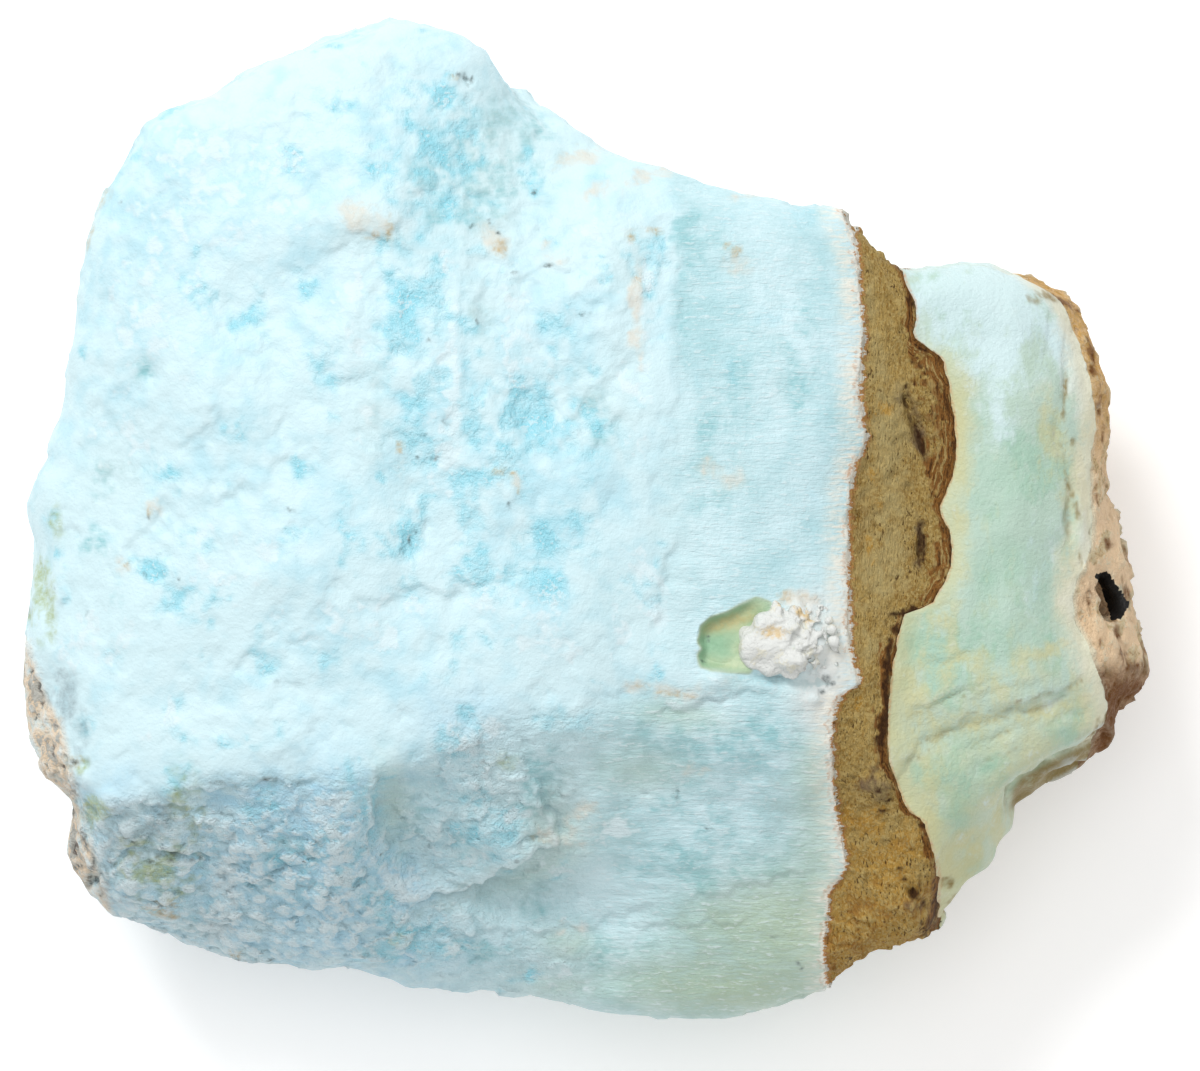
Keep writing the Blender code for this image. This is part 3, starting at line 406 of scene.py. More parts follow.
# Broken edges of thin flakes on the upper face: the ground drops past the line (u, v, half length,
# turn, drop in millimetres, reach of the drop). The low side is to the right of a line that runs up.
FLAKES = [
    (366, 236, 26, 106, 0.28, 12), (397, 228, 8, 8, 0.3, 12), (484, 258, 16, 112, 0.25, 12),
    (503, 250, 9, 8, 0.3, 12), (478, 312, 20, 4, 0.35, 24), (448, 418, 18, 24, 0.3, 22),
    (582, 315, 12, 110, 0.3, 16), (585, 400, 34, 38, 0.3, 14), (605, 430, 30, 36, 0.32, 14),
    (568, 440, 22, 40, 0.25, 14), (612, 380, 26, 28, 0.28, 14), (550, 395, 26, 60, 0.2, 14),
    (515, 392, 22, 96, 0.3, 24), (430, 590, 40, 98, 0.4, 30), (375, 600, 30, 88, 0.3, 26),
    (470, 582, 22, 104, 0.35, 24), (404, 545, 16, 10, 0.4, 18), (420, 530, 12, 0, 0.35, 16),
    (150, 512, 18, 36, 0.4, 24), (128, 540, 20, 36, 0.3, 24), (64, 530, 14, 104, 0.35, 20),
    (54, 600, 26, 14, 0.4, 24), (272, 466, 14, 38, 0.3, 18), (277, 424, 14, 36, 0.3, 18),
    (230, 490, 16, 34, 0.3, 18), (205, 425, 18, 42, 0.3, 22), (180, 440, 16, 46, 0.3, 20),
    (298, 640, 20, 60, 0.35, 22), (290, 684, 16, 120, 0.3, 20), (236, 660, 16, 20, 0.35, 18),
    (556, 268, 20, 96, 0.3, 20), (520, 276, 14, 80, 0.3, 18), (660, 600, 36, 12, 0.35, 34),
    (668, 560, 26, 20, 0.3, 30), (678, 300, 60, 1, 0.2, 30), (676, 400, 50, 2, 0.15, 30),
    (205, 790, 30, 84, 0.6, 26), (150, 806, 24, 100, 0.5, 22), (110, 815, 20, 50, 0.6, 20),
    (280, 782, 36, 88, 0.5, 24), (130, 845, 22, 60, 0.6, 20), (100, 850, 18, 40, 0.5, 16),
    (520, 862, 50, 66, 1.1, 34), (450, 893, 50, 74, 1.0, 30), (547, 812, 40, -25, 1.0, 30),
    (530, 838, 20, 68, 0.5, 20), (560, 930, 60, 84, 0.45, 26), (470, 935, 40, 90, 0.4, 22),
    (370, 812, 46, 4, 0.8, 26), (735, 695, 50, 80, 0.3, 26), (690, 706, 40, 78, 0.35, 28),
    (690, 925, 70, 88, 0.3, 26), (345, 378, 24, 88, 0.25, 20), (250, 350, 26, 80, 0.25, 20),
    (330, 250, 16, 60, 0.3, 18), (300, 190, 20, 50, 0.25, 18), (420, 190, 24, 88, 0.3, 22),
    (530, 205, 24, 70, 0.3, 22), (480, 195, 20, 80, 0.3, 20), (590, 300, 18, 120, 0.3, 18),
    (250, 880, 30, 80, 0.5, 22), (320, 905, 30, 90, 0.4, 22), (180, 890, 26, 70, 0.5, 20),
    (200, 930, 30, 88, 0.5, 20), (620, 915, 40, 76, 0.3, 30), (750, 885, 70, 76, 0.3, 30),
    (440, 830, 24, 40, 0.4, 24),
]
# Folds of the green layer (as above)
FOLDS = [
    (985, 722, 56, 76, 0.34, 24), (925, 745, 34, 46, 0.3, 22), (1040, 706, 46, 70, 0.4, 20),
    (1000, 712, 50, 74, 0.25, 14), (950, 730, 30, 56, 0.25, 16), (1070, 716, 34, 64, 0.3, 16),
    (1020, 728, 36, 70, 0.22, 14), (1072, 505, 30, 4, 0.45, 22), (1068, 370, 50, 4, 0.4, 24),
    (940, 700, 36, 62, 0.35, 24), (955, 655, 30, 80, 0.3, 24), (1010, 690, 40, 72, 0.35, 20),
    (1060, 690, 40, 68, 0.35, 20), (1006, 800, 14, 20, 0.6, 20), (905, 770, 24, 40, 0.3, 20),
    (950, 850, 30, 30, 0.35, 20), (1050, 330, 30, 20, 0.3, 24), (1060, 450, 30, 350, 0.3, 24),
    (970, 690, 46, 74, 0.25, 16), (1000, 738, 40, 74, 0.3, 16), (1030, 780, 30, 66, 0.4, 20),
    (930, 610, 26, 60, 0.2, 22),
]
# Where the outline itself is pushed in or out, in millimetres (as the relief)
PUSHED = [
    (1142, 718, 24, 26, 0, -1.4), (1150, 620, 14, 60, 0, 0.6), (30, 500, 14, 50, 0, 0.7),
    (26, 670, 14, 50, 0, 0.8), (1124, 480, 12, 50, 0, -0.8), (940, 905, 12, 12, 0, -0.5),
    (1096, 330, 22, 36, 20, -0.7), (1012, 830, 12, 16, 0, 0.7), (1034, 812, 14, 9, 0, -0.7),
    (1000, 862, 22, 20, 0, 0.8), (38, 740, 24, 50, 10, 0.8), (70, 862, 28, 44, 0, 1.3),
    (590, 1008, 50, 24, 0, 0.9),
]
# The steep hollow under the green layer's ledge (u, v), sunk and painted dark green-brown as its shade
LEDGE_EDGE = [
    (1009, 812), (1010, 790), (1020, 776), (1040, 764), (1062, 753), (1082, 745), (1100, 731), (1112, 726),
    (1130, 745), (1120, 780), (1060, 820),
]
# The vug: its edge and its middle (u, v), its depth in millimetres, and the tints of its floor (as the marks)
VUG_EDGE = [
    (702, 634), (703, 627), (712, 619), (728, 614), (742, 606), (756, 600), (768, 604), (766, 618),
    (756, 632), (750, 645), (750, 660), (748, 670), (728, 669), (712, 667), (702, 664), (700, 655),
    (704, 648), (700, 641),
]
VUG_DEPTH = 1.3
VUG_MIDDLE = (724, 640)
# How far from its middle the face is reshaped, and the ring whose heights give the face's level there
VUG_REACH = 56
VUG_RING = (52, 66)
VUG_OCHRE = [(734, 621, 26, 8, 14, 1.0), (716, 627, 12, 6, 0, 0.6), (748, 608, 10, 6, 20, 0.4)]
VUG_CREAM = [
    (744, 652, 13, 22, 10, 1.0), (730, 664, 16, 6, 0, 0.8), (712, 658, 8, 6, 0, 0.5),
    (756, 604, 12, 6, 0, 0.6),
]
# Broad faint tints of the broad face: bluer, and greyer
BLUER = [
    (560, 450, 90, 120, 0, 0.7), (420, 380, 60, 130, 0, 0.8), (420, 150, 90, 90, 0, 0.6),
    (230, 180, 120, 90, 0, 0.5), (240, 330, 70, 60, 0, 0.5), (150, 420, 70, 90, 0, 0.4),
    (520, 590, 90, 50, 0, 0.8), (300, 470, 70, 60, 0, 0.4), (600, 250, 60, 60, 0, 0.3),
    (280, 660, 80, 40, 0, 0.4), (400, 700, 80, 40, 0, 0.5), (160, 560, 60, 60, 0, 0.3),
    (180, 170, 150, 80, -20, 0.9), (110, 280, 60, 120, 0, 0.4), (400, 90, 90, 60, 0, 0.5),
]
GREYER = [
    (470, 190, 60, 60, 0, 0.7), (520, 140, 60, 40, 30, 0.6), (480, 320, 14, 40, 6, 0.6),
    (625, 260, 30, 50, 0, 0.5), (625, 400, 24, 60, 0, 0.5), (590, 420, 30, 50, 30, 0.6),
    (372, 418, 20, 60, 0, 0.5), (110, 480, 40, 50, 20, 0.4), (620, 620, 60, 60, 0, 0.4),
    (400, 250, 40, 16, -12, 0.5), (660, 540, 30, 60, 0, 0.5), (345, 240, 50, 18, -10, 0.3),
]
# Grains among the white ground between the nodule and the band
WHITE_GROUND = [(826, 655, 26, 56, 0, 1.0), (806, 606, 24, 12, 0, 0.8), (812, 700, 24, 20, 0, 0.7)]
# The deep hole in the crust, seen from above (u, v); its inside is painted near-black as shadow
PIT_EDGE = [
    (1095, 575), (1108, 571), (1116, 584), (1122, 591), (1131, 604), (1124, 618), (1113, 621), (1109, 606),
    (1103, 589),
]
# The white nodule: its middle and half sizes (u, v, half length, half width)
NODULE = (788, 640, 46, 36)
# Its large lumps (u, v, radius, height of the middle above the ground, both in millimetres)
NODULE_LUMPS = [
    (776, 643, 3.3, -1.0), (757, 648, 2.3, -0.5), (790, 653, 2.3, -0.7), (767, 626, 2.0, -0.2),
    (787, 627, 1.7, -0.3), (776, 612, 1.2, -0.1), (804, 640, 1.5, -0.5), (806, 622, 0.9, -0.2),
    (768, 664, 1.5, -0.4), (748, 636, 1.4, -0.4), (791, 668, 1.2, -0.3), (817, 649, 0.9, -0.5),
    (796, 611, 0.7, 0.0), (752, 662, 1.1, -0.4),
]
# The crumbs beside them: how many, how far right of the nodule's middle and their least and greatest radius
NODULE_CRUMBS = 70
CRUMBS_RIGHT = 22.0
CRUMB_RADII = (0.25, 0.55)
# Crumbs right of this are lifted (u), and the nodule is crumbly right of this
LIFTED_FROM = 785
CRUMBLY_FROM = 782.0
# The dish in its top (u, v, half length, half width, depth in millimetres)
NODULE_DISH = (774.0, 631.0, 12.0, 10.0, 0.45)
# A height over the whole stone
OVER_STONE = 600
# Its grid in millimetres, and how smooth it is made
NODULE_GRID = 0.15
NODULE_ROUNDS = 44
NODULE_OCHRE = [
    (774, 632, 14, 10, -10, 0.9), (790, 600, 20, 7, 0, 1.0), (800, 612, 10, 6, 0, 0.8),
    (808, 620, 6, 5, 0, 0.7),
]

# Attributes from marks with soft edges, from marks broken up by noise, and from small clear marks
SOFT_MARKS = {"green_teal": GREEN_TEAL, "green_cream": GREEN_CREAM, "green_pale": GREEN_PALE}
BROKEN_MARKS = {
    "teal": TEAL, "shade": SHADE, "chalk": CHALK, "stain": STAIN, "olive": OLIVE, "glassy": GLASSY,
    "band_olive": BAND_OLIVE, "band_lip": BAND_LIP, "band_ochre": BAND_OCHRE, "band_mauve": BAND_MAUVE,
}
SMALL_MARKS = {
    "rust": RUST, "speck": SPECKS, "band_dark": BAND_DARK, "green_brown": GREEN_BROWN,
    "crust_brown": CRUST_BROWN,
}

# How often the skin, its broad face and the face's lower crest are smoothed
SKIN_ROUNDS = 22
FACE_ROUNDS = 50
CREST_ROUNDS = 160
# The part of the crest that is rounded: its reach on both sides, and where it ends along the stone
CREST_REACH = 55
CREST_END = 470
# Faces that look less upward than this are thinned, and the most triangles that a layer keeps
UNDER_FACING = 0.15
MOST_TRIANGLES = 196000
# What the blocks past the contacts span (v and h), the rows of their grid, and their depth in metres
BLOCK_V = (-40.0, 1100.0)
BLOCK_H = (-60.0, 480.0)
BLOCK_ROWS = (190, 18)
BLOCK_DEPTH = 0.2
# Shifts of the shader's fine noises
GRIT_SHIFT = 9.0
FIBRE_SHIFT = 5.0

# The floor's half size and how far it lies under the stone, in metres
FLOOR_SIZE = 3.0
FLOOR_GAP = 0.0002
# The camera's lens and sensor in millimetres
LENS = 800.0
SENSOR = 36.0
# What the picture shows: its width, and the place in its middle (u, v) with its height
SHOWN_WIDTH = 1200
SHOWN_MIDDLE = (600, 535.5)
SHOWN_LEVEL = 300
# Light that a level face takes, relative to what would show white as white
LIGHT_LEVEL = 1.25


def linear(red, green, blue):
    """Linear values of a display colour given from 0 to 255."""
    shares = [value / 255 for value in (red, green, blue)]
    return [share / 12.92 if share <= 0.04045 else ((share + 0.055) / 1.055) ** 2.4 for share in shares]


def tint(name, description, red, green, blue):
    """A colour property, given as it shows on a lit level face."""
    shown = [value / LIGHT_LEVEL for value in linear(red, green, blue)]
    return FloatVectorProperty(
        name=name, description=description, subtype="COLOR", size=3, min=0.0, max=1.0, default=shown
    )


def length(name, description, millimetres):
    """A length property."""
    return FloatProperty(
        name=name, description=description, subtype="DISTANCE", unit="LENGTH", min=0.0, precision=5,
        default=millimetres * MM,
    )


class CalciteSizes(bpy.types.PropertyGroup):
    """Sizes of the stone's surface."""

    grid: length("Grid", "Spacing of the skin's points", 0.37)
    lumps: length("Lumps", "Height of the broad lumps", 0.32)
    pocks: length("Pocks", "Depth of the small dents in the broad face", 0.2)
    grains: length("Grains", "Height of the crystal facets in the sugary parts", 0.42)
    fibres: length("Fibres", "Height of the fibres beside the band", 0.07)
    band_depth: length("Band Depth", "How far the brown band lies under the faces beside it", 0.4)
    band_grain: length("Band Grain", "Height of the band's grains", 0.2)
    crust_grain: length("Crust Grain", "Height of the tan crust's lumps", 0.5)
    breaks: length("Breaks", "Height of the broken facets on the sides and the underside", 0.9)
    under_share: FloatProperty(
        name="Under Share", description="Share of the triangles that the sides and the underside keep",
        subtype="FACTOR", min=0.1, max=1.0, default=0.3,
    )
    seed: IntProperty(name="Seed", description="Seed of everything scattered", min=0, default=7)


class CalciteColours(bpy.types.PropertyGroup):
    """Colours of the minerals."""

    face: tint("Face", "Broad face of the blue calcite", 220, 247, 253)
    face_deep: tint("Face Deep", "Broad face where it's bluer", 196, 236, 247)
    cyan: tint("Cyan", "Cyan patches", 150, 226, 243)
    shade_pale: tint("Shade Pale", "Greyer parts of the broad face", 202, 226, 226)
    hollow: tint("Hollow", "Small hollows of the blue calcite", 168, 208, 216)
    # Hollow is painted shade, laid into the blue calcite's hollows by their depth
    vug_green: tint("Vug Green", "Floor of the vug", 150, 196, 160)
    vug_ochre: tint("Vug Ochre", "Its stained upper side", 206, 186, 120)
    vug_cream: tint("Vug Cream", "Its lower side", 216, 226, 186)
    azure: tint("Azure", "Bluest calcite of the lower left", 176, 226, 250)
    teal: tint("Teal", "Fibrous calcite beside the band", 182, 224, 230)
    teal_deep: tint("Teal Deep", "Its deepest patches", 140, 204, 210)
    # Shade is a grey tint; it is also laid as painted shade by the SHADE marks and in the hollows of the
    # white ground and the nodule
    shade: tint("Shade", "Greyish calcite", 182, 208, 208)
    # Chalk is also painted as highlight: on bumps and ridges of the blue and green calcite, on the tops of
    # the sugary grains, and in part as glints along the fibres
    chalk: tint("Chalk", "Whitest calcite", 232, 249, 253)
    stain: tint("Stain", "Pale tan stain", 228, 226, 214)
    rust: tint("Rust", "Golden rust spots", 200, 178, 130)
    olive: tint("Olive", "Yellow-green calcite", 176, 194, 140)
    # Glassy is also painted as shade in the sugary ground's hollows
    glassy: tint("Glassy", "Grey glassy calcite", 156, 176, 182)
    speck: tint("Speck", "Dark specks and cracks", 84, 96, 96)
    khaki: tint("Khaki", "Body of the brown band", 208, 176, 104)
    khaki_dark: tint("Khaki Dark", "Its grain", 156, 118, 52)
    # Straw is also painted as highlight on the band's bumps
    straw: tint("Straw", "Its palest grains", 226, 200, 132)
    ochre: tint("Ochre", "Golden parts of the band", 214, 162, 66)
    lip: tint("Lip", "Reddish-brown edge of the band", 156, 102, 44)
    # Umber is also painted as shade: in the hollows of the band and the left crust, and as a shadow line
    # along the band's lip
    umber: tint("Umber", "Dark crevices of the band", 72, 42, 16)
    mauve: tint("Mauve", "Purplish grey of the band", 134, 112, 90)
    rim: tint("Rim", "Orange line along the band", 208, 146, 88)
    fringe: tint("Fringe", "White teeth along the band", 250, 246, 232)
    olive_pale: tint("Olive Pale", "Pale olive ground of the band", 214, 196, 138)
    # Sage is also laid on the vug's wall, partly as painted shade
    sage: tint("Sage", "Grey-green calcite of the lower right", 182, 202, 168)
    green: tint("Green", "Green calcite", 198, 222, 206)
    green_sky: tint("Green Sky", "Its bluish white parts", 222, 246, 250)
    green_deep: tint("Green Deep", "Its deeper patches", 164, 206, 182)
    cream: tint("Cream", "Its cream patches", 214, 212, 162)
    # Cream light is also painted as highlight on the crust's bumps
    cream_light: tint("Cream Light", "Pale cream along the crust", 240, 234, 206)
    # Green brown is brown stain, and also painted shade: shadow lines of the folds, the ledge's hollow and
    # the green calcite's hollows
    green_brown: tint("Green Brown", "Its stained hollows", 146, 124, 62)
    crust: tint("Crust", "Pinkish tan crust", 252, 220, 180)
    # Crust brown is also painted as shade in the crust's hollows
    crust_brown: tint("Crust Brown", "Its brown cracks", 122, 74, 24)
    crust_dark: tint("Crust Dark", "Its darker parts", 206, 158, 100)
    nodule: tint("Nodule", "White nodule", 238, 240, 236)
    peach: tint("Peach", "Warm stain of the nodule", 236, 206, 150)
    # Painted shadow: the near-black inside of the deep hole in the crust
    pit: tint("Pit", "The dark pit", 26, 24, 22)


class CalciteStage(bpy.types.PropertyGroup):
    """Light and floor."""

    sky: FloatProperty(name="Sky", description="Light from all round", min=0.0, default=0.6)
    over: FloatProperty(name="Overhead", description="Light from straight above", min=0.0, default=0.24)
    key: FloatProperty(name="Key", description="Light from the upper left", min=0.0, default=0.42)
    glow: FloatProperty(
        name="Floor Glow", description="Light that the floor gives off", min=0.0, default=0.19
    )
    floor: FloatVectorProperty(
        name="Floor", description="Colour of the floor", subtype="COLOR", size=3, min=0.0, max=1.0,
        default=(0.95, 0.95, 0.95),
    )


def place(u, v, h=0.0):
    """A point of the stone's own coordinates in metres."""
    return ((u - CENTRE_U) * UNIT, (CENTRE_V - v) * UNIT, h * UNIT)


def along(line, position):
    """A line's value at each position, the line being pairs of position and value."""
    positions, values = zip(*line)
    return np.interp(position, positions, values)


def smooth_step(value, width):
    """0 below, 1 above, and a soft step of this width at zero."""
    share = np.clip(value / width + 0.5, 0.0, 1.0)
    return share * share * (3.0 - 2.0 * share)


def read(mesh, kind="co"):
    """The mesh's points or point normals as an array."""
    values = np.empty(len(mesh.vertices) * 3, dtype=np.float32)
    if kind == "co":
        mesh.vertices.foreach_get("co", values)
    else:
        mesh.vertex_normals.foreach_get("vector", values)
    return values.reshape(-1, 3).astype(float)


def own_coordinates(points):
    """u, v and h of points in metres."""
    return points[:, 0] / UNIT + CENTRE_U, CENTRE_V - points[:, 1] / UNIT, points[:, 2] / UNIT


def ripples(points, size, octaves=3, stretch=(1.0, 1.0, 1.0), shift=0.0):
    """Fractal noise from about -1 to 1, of this size in metres, at each point."""
    spread = points / size / np.array(stretch) + shift
    return np.array([noise.fractal(point, 0.9, 2.1, octaves) for point in spread])


def facets(points, size, shift=0.0):
    """A patchwork of small tilted planes: its height in sizes, and the distance to its grains' middles."""
    spread = points / size + shift
    heights = np.empty(len(spread))
    reach = np.empty(len(spread))
    for index, point in enumerate(spread):
        distances, centres = noise.voronoi(point)
        centre = centres[0]
        tilt = noise.cell_vector(centre * 37.0) - Vector((0.5, 0.5, 0.5))
        heights[index] = (Vector(point) - centre).dot(tilt) + 0.5 * tilt.x
        reach[index] = distances[0]
    return heights, reach


def marks(listed, u, v, sharpness=1.6):
    """How strongly each point lies in any of the listed soft ellipses."""
    clear = np.ones(len(u))
    for centre_u, centre_v, half_length, half_width, turn, strength in listed:
        reach = 2.2 * max(half_length, half_width)
        near = (np.abs(u - centre_u) < reach) & (np.abs(v - centre_v) < reach)
        cosine = math.cos(math.radians(turn))
        sine = math.sin(math.radians(turn))
        across = ((u[near] - centre_u) * cosine - (v[near] - centre_v) * sine) / half_length
        down = ((u[near] - centre_u) * sine + (v[near] - centre_v) * cosine) / half_width
        square = across * across + down * down
        clear[near] *= 1.0 - strength * np.exp(-(square ** sharpness))
    return 1.0 - clear


def relief(listed, u, v):
    """Sum of soft lumps and hollows in millimetres."""
    height = np.zeros(len(u))
    for centre_u, centre_v, half_length, half_width, turn, rise in listed:
        height += rise * marks([(centre_u, centre_v, half_length, half_width, turn, 1.0)], u, v, 1.3)
    return height


def flake_edges(listed, u, v, wander=1.0):
    """Steps down past each listed line, which ease out with the distance, in millimetres."""
    height = np.zeros(len(u))
    for centre_u, centre_v, half_length, turn, drop, reach in listed:
        span = max(half_length * 1.3, reach * 2.5)
        near = (np.abs(u - centre_u) < span) & (np.abs(v - centre_v) < span)
        sine = math.sin(math.radians(turn))
        cosine = math.cos(math.radians(turn))
        out = (u[near] - centre_u) * cosine + (v[near] - centre_v) * sine
        run = (u[near] - centre_u) * sine - (v[near] - centre_v) * cosine
        out = out + wander * (3.0 * np.sin(run / 7.0 + centre_u) + 1.5 * np.sin(run / 3.1 + centre_v))
        ends = 1.0 - smooth_step(np.abs(run) - half_length * 0.85, half_length * 0.6)
        eased = np.exp(-np.clip(out, 0.0, None) / reach)
        height[near] -= drop * smooth_step(out, 5.0) * eased * ends
    return height


def scattered_flakes(seed):
    """Many small flake edges over the broad face."""
    chance = np.random.RandomState(seed)
    listed = []
    for _index in range(600):
        u = chance.uniform(50, 670)
        v = chance.uniform(40, 800)
        turn = chance.choice([40.0, 90.0, 10.0]) + chance.normal(0.0, 26.0)
        listed.append((u, v, chance.uniform(4, 14), turn, chance.uniform(0.06, 0.2), chance.uniform(5, 14)))
    return listed


def past_contact(line, lean, face, u, v, h):
    """Signed distance of each point past a contact between layers, in millimetres."""
    return (u - along(line, v) - lean * (along(face, v) - h)) * 0.1


def zones(points, normals):
    """Weights of the stone's parts at each point."""
    u, v, h = own_coordinates(points)
    band, lip, crust = (past_contact(*parts, u, v, h) for parts in CONTACTS.values())
    crest = v - along(LOWER_CREST, u)
    upper = smooth_step(normals[:, 2] - 0.1, 0.5)
    in_blue = 1.0 - smooth_step(band, 0.5)
    in_green = smooth_step(lip, 0.6)
    in_crust = in_green * smooth_step(crust, 0.6)
    left_crust = smooth_step(along(LEFT_CRUST, v) - u, 14.0)
    left_crust = left_crust * (v > LEFT_CRUST_SPAN[0]) * (v < LEFT_CRUST_SPAN[1])
    past_crest = smooth_step(crest, 30.0)
    wavy = 5.0 * np.sin(v / 23.0) + 3.0 * np.sin(v / 9.1)
    fibrous = smooth_step(u - FIBRES_FROM + wavy, np.where(v < 400, 30.0, 60.0)) * in_blue
    satin = smooth_step(u - SATIN_FROM, 70.0) * past_crest * in_blue
    sugary = np.exp(-(((u - SUGARY[0]) / SUGARY[2]) ** 4) - ((v - SUGARY[1]) / SUGARY[3]) ** 4)
    vug = smooth_step(reach_inside(VUG_EDGE, u, v) + 3.0, 8.0) * (normals[:, 2] > -0.2) * (h > FACE_LOW)
    ground = marks(WHITE_GROUND, u, v, 1.0) * in_blue * upper
    rugged = marks(RUGGED, u, v, 1.0) * in_blue
    ledge = smooth_step(reach_inside(LEDGE_EDGE, u, v) - 3.0, 9.0) * (h > 100)
    fibrous = fibrous * (1.0 - vug) * (1.0 - ground)
    return {
        "u": u, "v": v, "h": h, "band": band, "lip": lip, "crust": crust, "crest": crest, "upper": upper,
        "in_blue": in_blue, "in_band": (1.0 - in_blue) * (1.0 - in_green),
        "in_green": in_green * (1.0 - in_crust), "in_crust": in_crust,
        "left_crust": left_crust * in_blue, "past_crest": past_crest * in_blue, "fibrous": fibrous,
        "satin": satin, "sugary": np.clip(sugary, 0.0, 1.0) * in_blue, "vug": vug, "ground": ground,
        "rugged": rugged, "ledge": ledge,
    }


def broken(strength, coarse, fine, middle, width):
    """A soft mark broken up by noise, which leaves places far from it clear."""
    patchy = strength + (0.7 * coarse + 0.45 * fine) * smooth_step(strength - 0.14, 0.24)
    return smooth_step(patchy - middle, width)


def glassy_patches(points, u, v):
    """Where the white skin of the blue calcite is off and cyan crystal shows."""
    coarse = ripples(points, 0.0019, shift=31.0)
    fine = ripples(points, 0.0007, 2, shift=37.0)
    strewn = ripples(points, 0.0045, 3, shift=41.0) + 0.5 * ripples(points, 0.02, 2, shift=43.0)
    strength = marks(CYAN, u + 5.0 * coarse, v + 5.0 * fine, 1.0)
    strength = np.clip(strength + 0.3 * smooth_step(strewn - 0.5, 0.5), 0.0, 1.0)
    return broken(strength, coarse, 0.6 * fine, 0.42, 1.0)


def surface_height(points, normals, sizes):
    """How far each point of the skin moves out, in metres."""
    zone = zones(points, normals)
    u, v, upper = zone["u"], zone["v"], zone["upper"]
    side = 1.0 - upper
    plateau = upper * zone["in_blue"] * (1.0 - zone["fibrous"]) * (1.0 - zone["past_crest"])
    fibrous = upper * zone["fibrous"] * (1.0 - zone["past_crest"])
    rough = zone["sugary"] * smooth_step(zone["crest"] + 20.0, 26.0) + zone["left_crust"]
    rough += 0.5 * zone["ground"] + 0.6 * zone["rugged"]
    rough = np.clip(rough, 0.0, 1.0) * upper
    satin = upper * zone["satin"]
    lower = upper * zone["past_crest"] * (1.0 - rough) * (1.0 - 0.8 * zone["satin"])
    widest = np.exp(-((normals[:, 2] / 0.35) ** 2) - ((zone["h"] - 240.0) / 60.0) ** 2)
    rim_share = 1.0 - 0.6 * widest
    band = zone["in_band"]
    green = zone["in_green"]
    crust = zone["in_crust"]
    golden = band * smooth_step(v - GOLDEN_FROM, 40.0)

    broad = ripples(points, 0.009)
    middle = ripples(points, 0.0032, shift=11.0)
    fine = ripples(points, 0.0012, octaves=2, shift=5.0)
    streaks = ripples(points, 0.0034, octaves=3, stretch=(1.0, 5.0, 2.0), shift=3.0)
    fibres = ripples(points, 0.0011, octaves=2, stretch=(6.0, 0.7, 2.0), shift=9.0)
    patches = ripples(points, 0.011, octaves=2, shift=21.0)
    grains, grain_reach = facets(points, 0.0016)
    coarse, coarse_reach = facets(points, 0.0033, shift=4.0)
    blocks, _reach = facets(points, 0.0085, shift=8.0)
    cyan = glassy_patches(points, u, v)
    grainy = 0.6 * cyan + 0.6 * smooth_step(patches - 0.3, 0.35) + marks(GRAINY, u, v, 1.0)
    grainy = np.clip(grainy, 0.0, 1.0)

    pebbles = np.clip(1.0 - (grain_reach / 0.7) ** 2, 0.0, 1.0)
    share = 0.4 * plateau + 0.8 * lower + 0.5 * satin + 0.5 * green + 0.3 * fibrous + 0.8 * side
    height = sizes.lumps * broad * share
    height += sizes.lumps * 0.3 * streaks * (plateau + 0.3 * lower)
    share = plateau * (0.1 + 0.16 * grainy) + 0.5 * lower + 0.18 * green + 0.3 * band + 0.5 * side
    height += sizes.lumps * middle * share
    height += sizes.lumps * 0.3 * fine * (plateau * (0.2 + grainy) + 0.8 * lower + 0.3 * green + 0.8 * side)
    dents = smooth_step(0.42 - coarse_reach, 0.2) * smooth_step(patches + 0.1, 0.4)
    height -= sizes.pocks * dents * plateau * 0.7
    height -= sizes.pocks * 0.35 * cyan * plateau
    height += sizes.pocks * 1.6 * coarse * (plateau * (0.1 + 0.4 * grainy) + 1.2 * lower)
    share = plateau * (0.06 + 0.36 * grainy) + 1.15 * rough + 0.4 * lower + 0.5 * side
    height += sizes.grains * share * grains
    height += sizes.grains * 0.75 * rough * pebbles * np.clip(0.7 + middle, 0.0, 1.5)
    height += sizes.grains * 1.8 * coarse * (0.75 * rough + 0.1 * lower + 0.5 * side * rim_share)
    height += sizes.fibres * fibres * (fibrous + lower + 1.2 * satin)
    height += sizes.breaks * blocks * side * (0.9 - 0.5 * green) * rim_share
    height += sizes.breaks * 0.35 * coarse * side * (1.0 - band) * rim_share
    height += sizes.band_grain * (1.2 * grains * (1.0 + golden) + fine) * band
    pits = smooth_step(0.3 - grain_reach, 0.14) * smooth_step(middle, 0.5)
    height -= sizes.band_grain * (1.2 - 0.6 * golden) * pits * band
    height += sizes.crust_grain * (0.6 * coarse + 0.7 * grains + 0.5 * middle) * crust
    sunk = sizes.band_depth * band * smooth_step(zone["band"] - 0.2, 0.6)
    height -= sunk * smooth_step(-0.1 - zone["lip"], 0.6)
    near_lip = np.exp(-((zone["lip"] + 1.3) / 1.1) ** 2) * band
    sheets = 0.1 * MM * np.sin(zone["lip"] * 7.5 + 3.0 * middle)
    height += 0.28 * MM * near_lip + sheets * np.clip(near_lip * 1.6, 0, 1)

    placed = relief(RELIEF, u, v) + flake_edges(FLAKES, u, v)
    scattered = flake_edges(scattered_flakes(sizes.seed), u, v)
    placed += scattered * (1.0 - 0.6 * zone["past_crest"]) * zone["in_blue"]
    placed += 0.75 * flake_edges(FOLDS, u + 6.0 * middle, v + 6.0 * middle, 0.25) * green
    placed -= 1.6 * zone["ledge"]
    height += placed * MM * smooth_step(normals[:, 2] - 0.25, 0.5) + relief(PUSHED, u, v) * MM
    return height


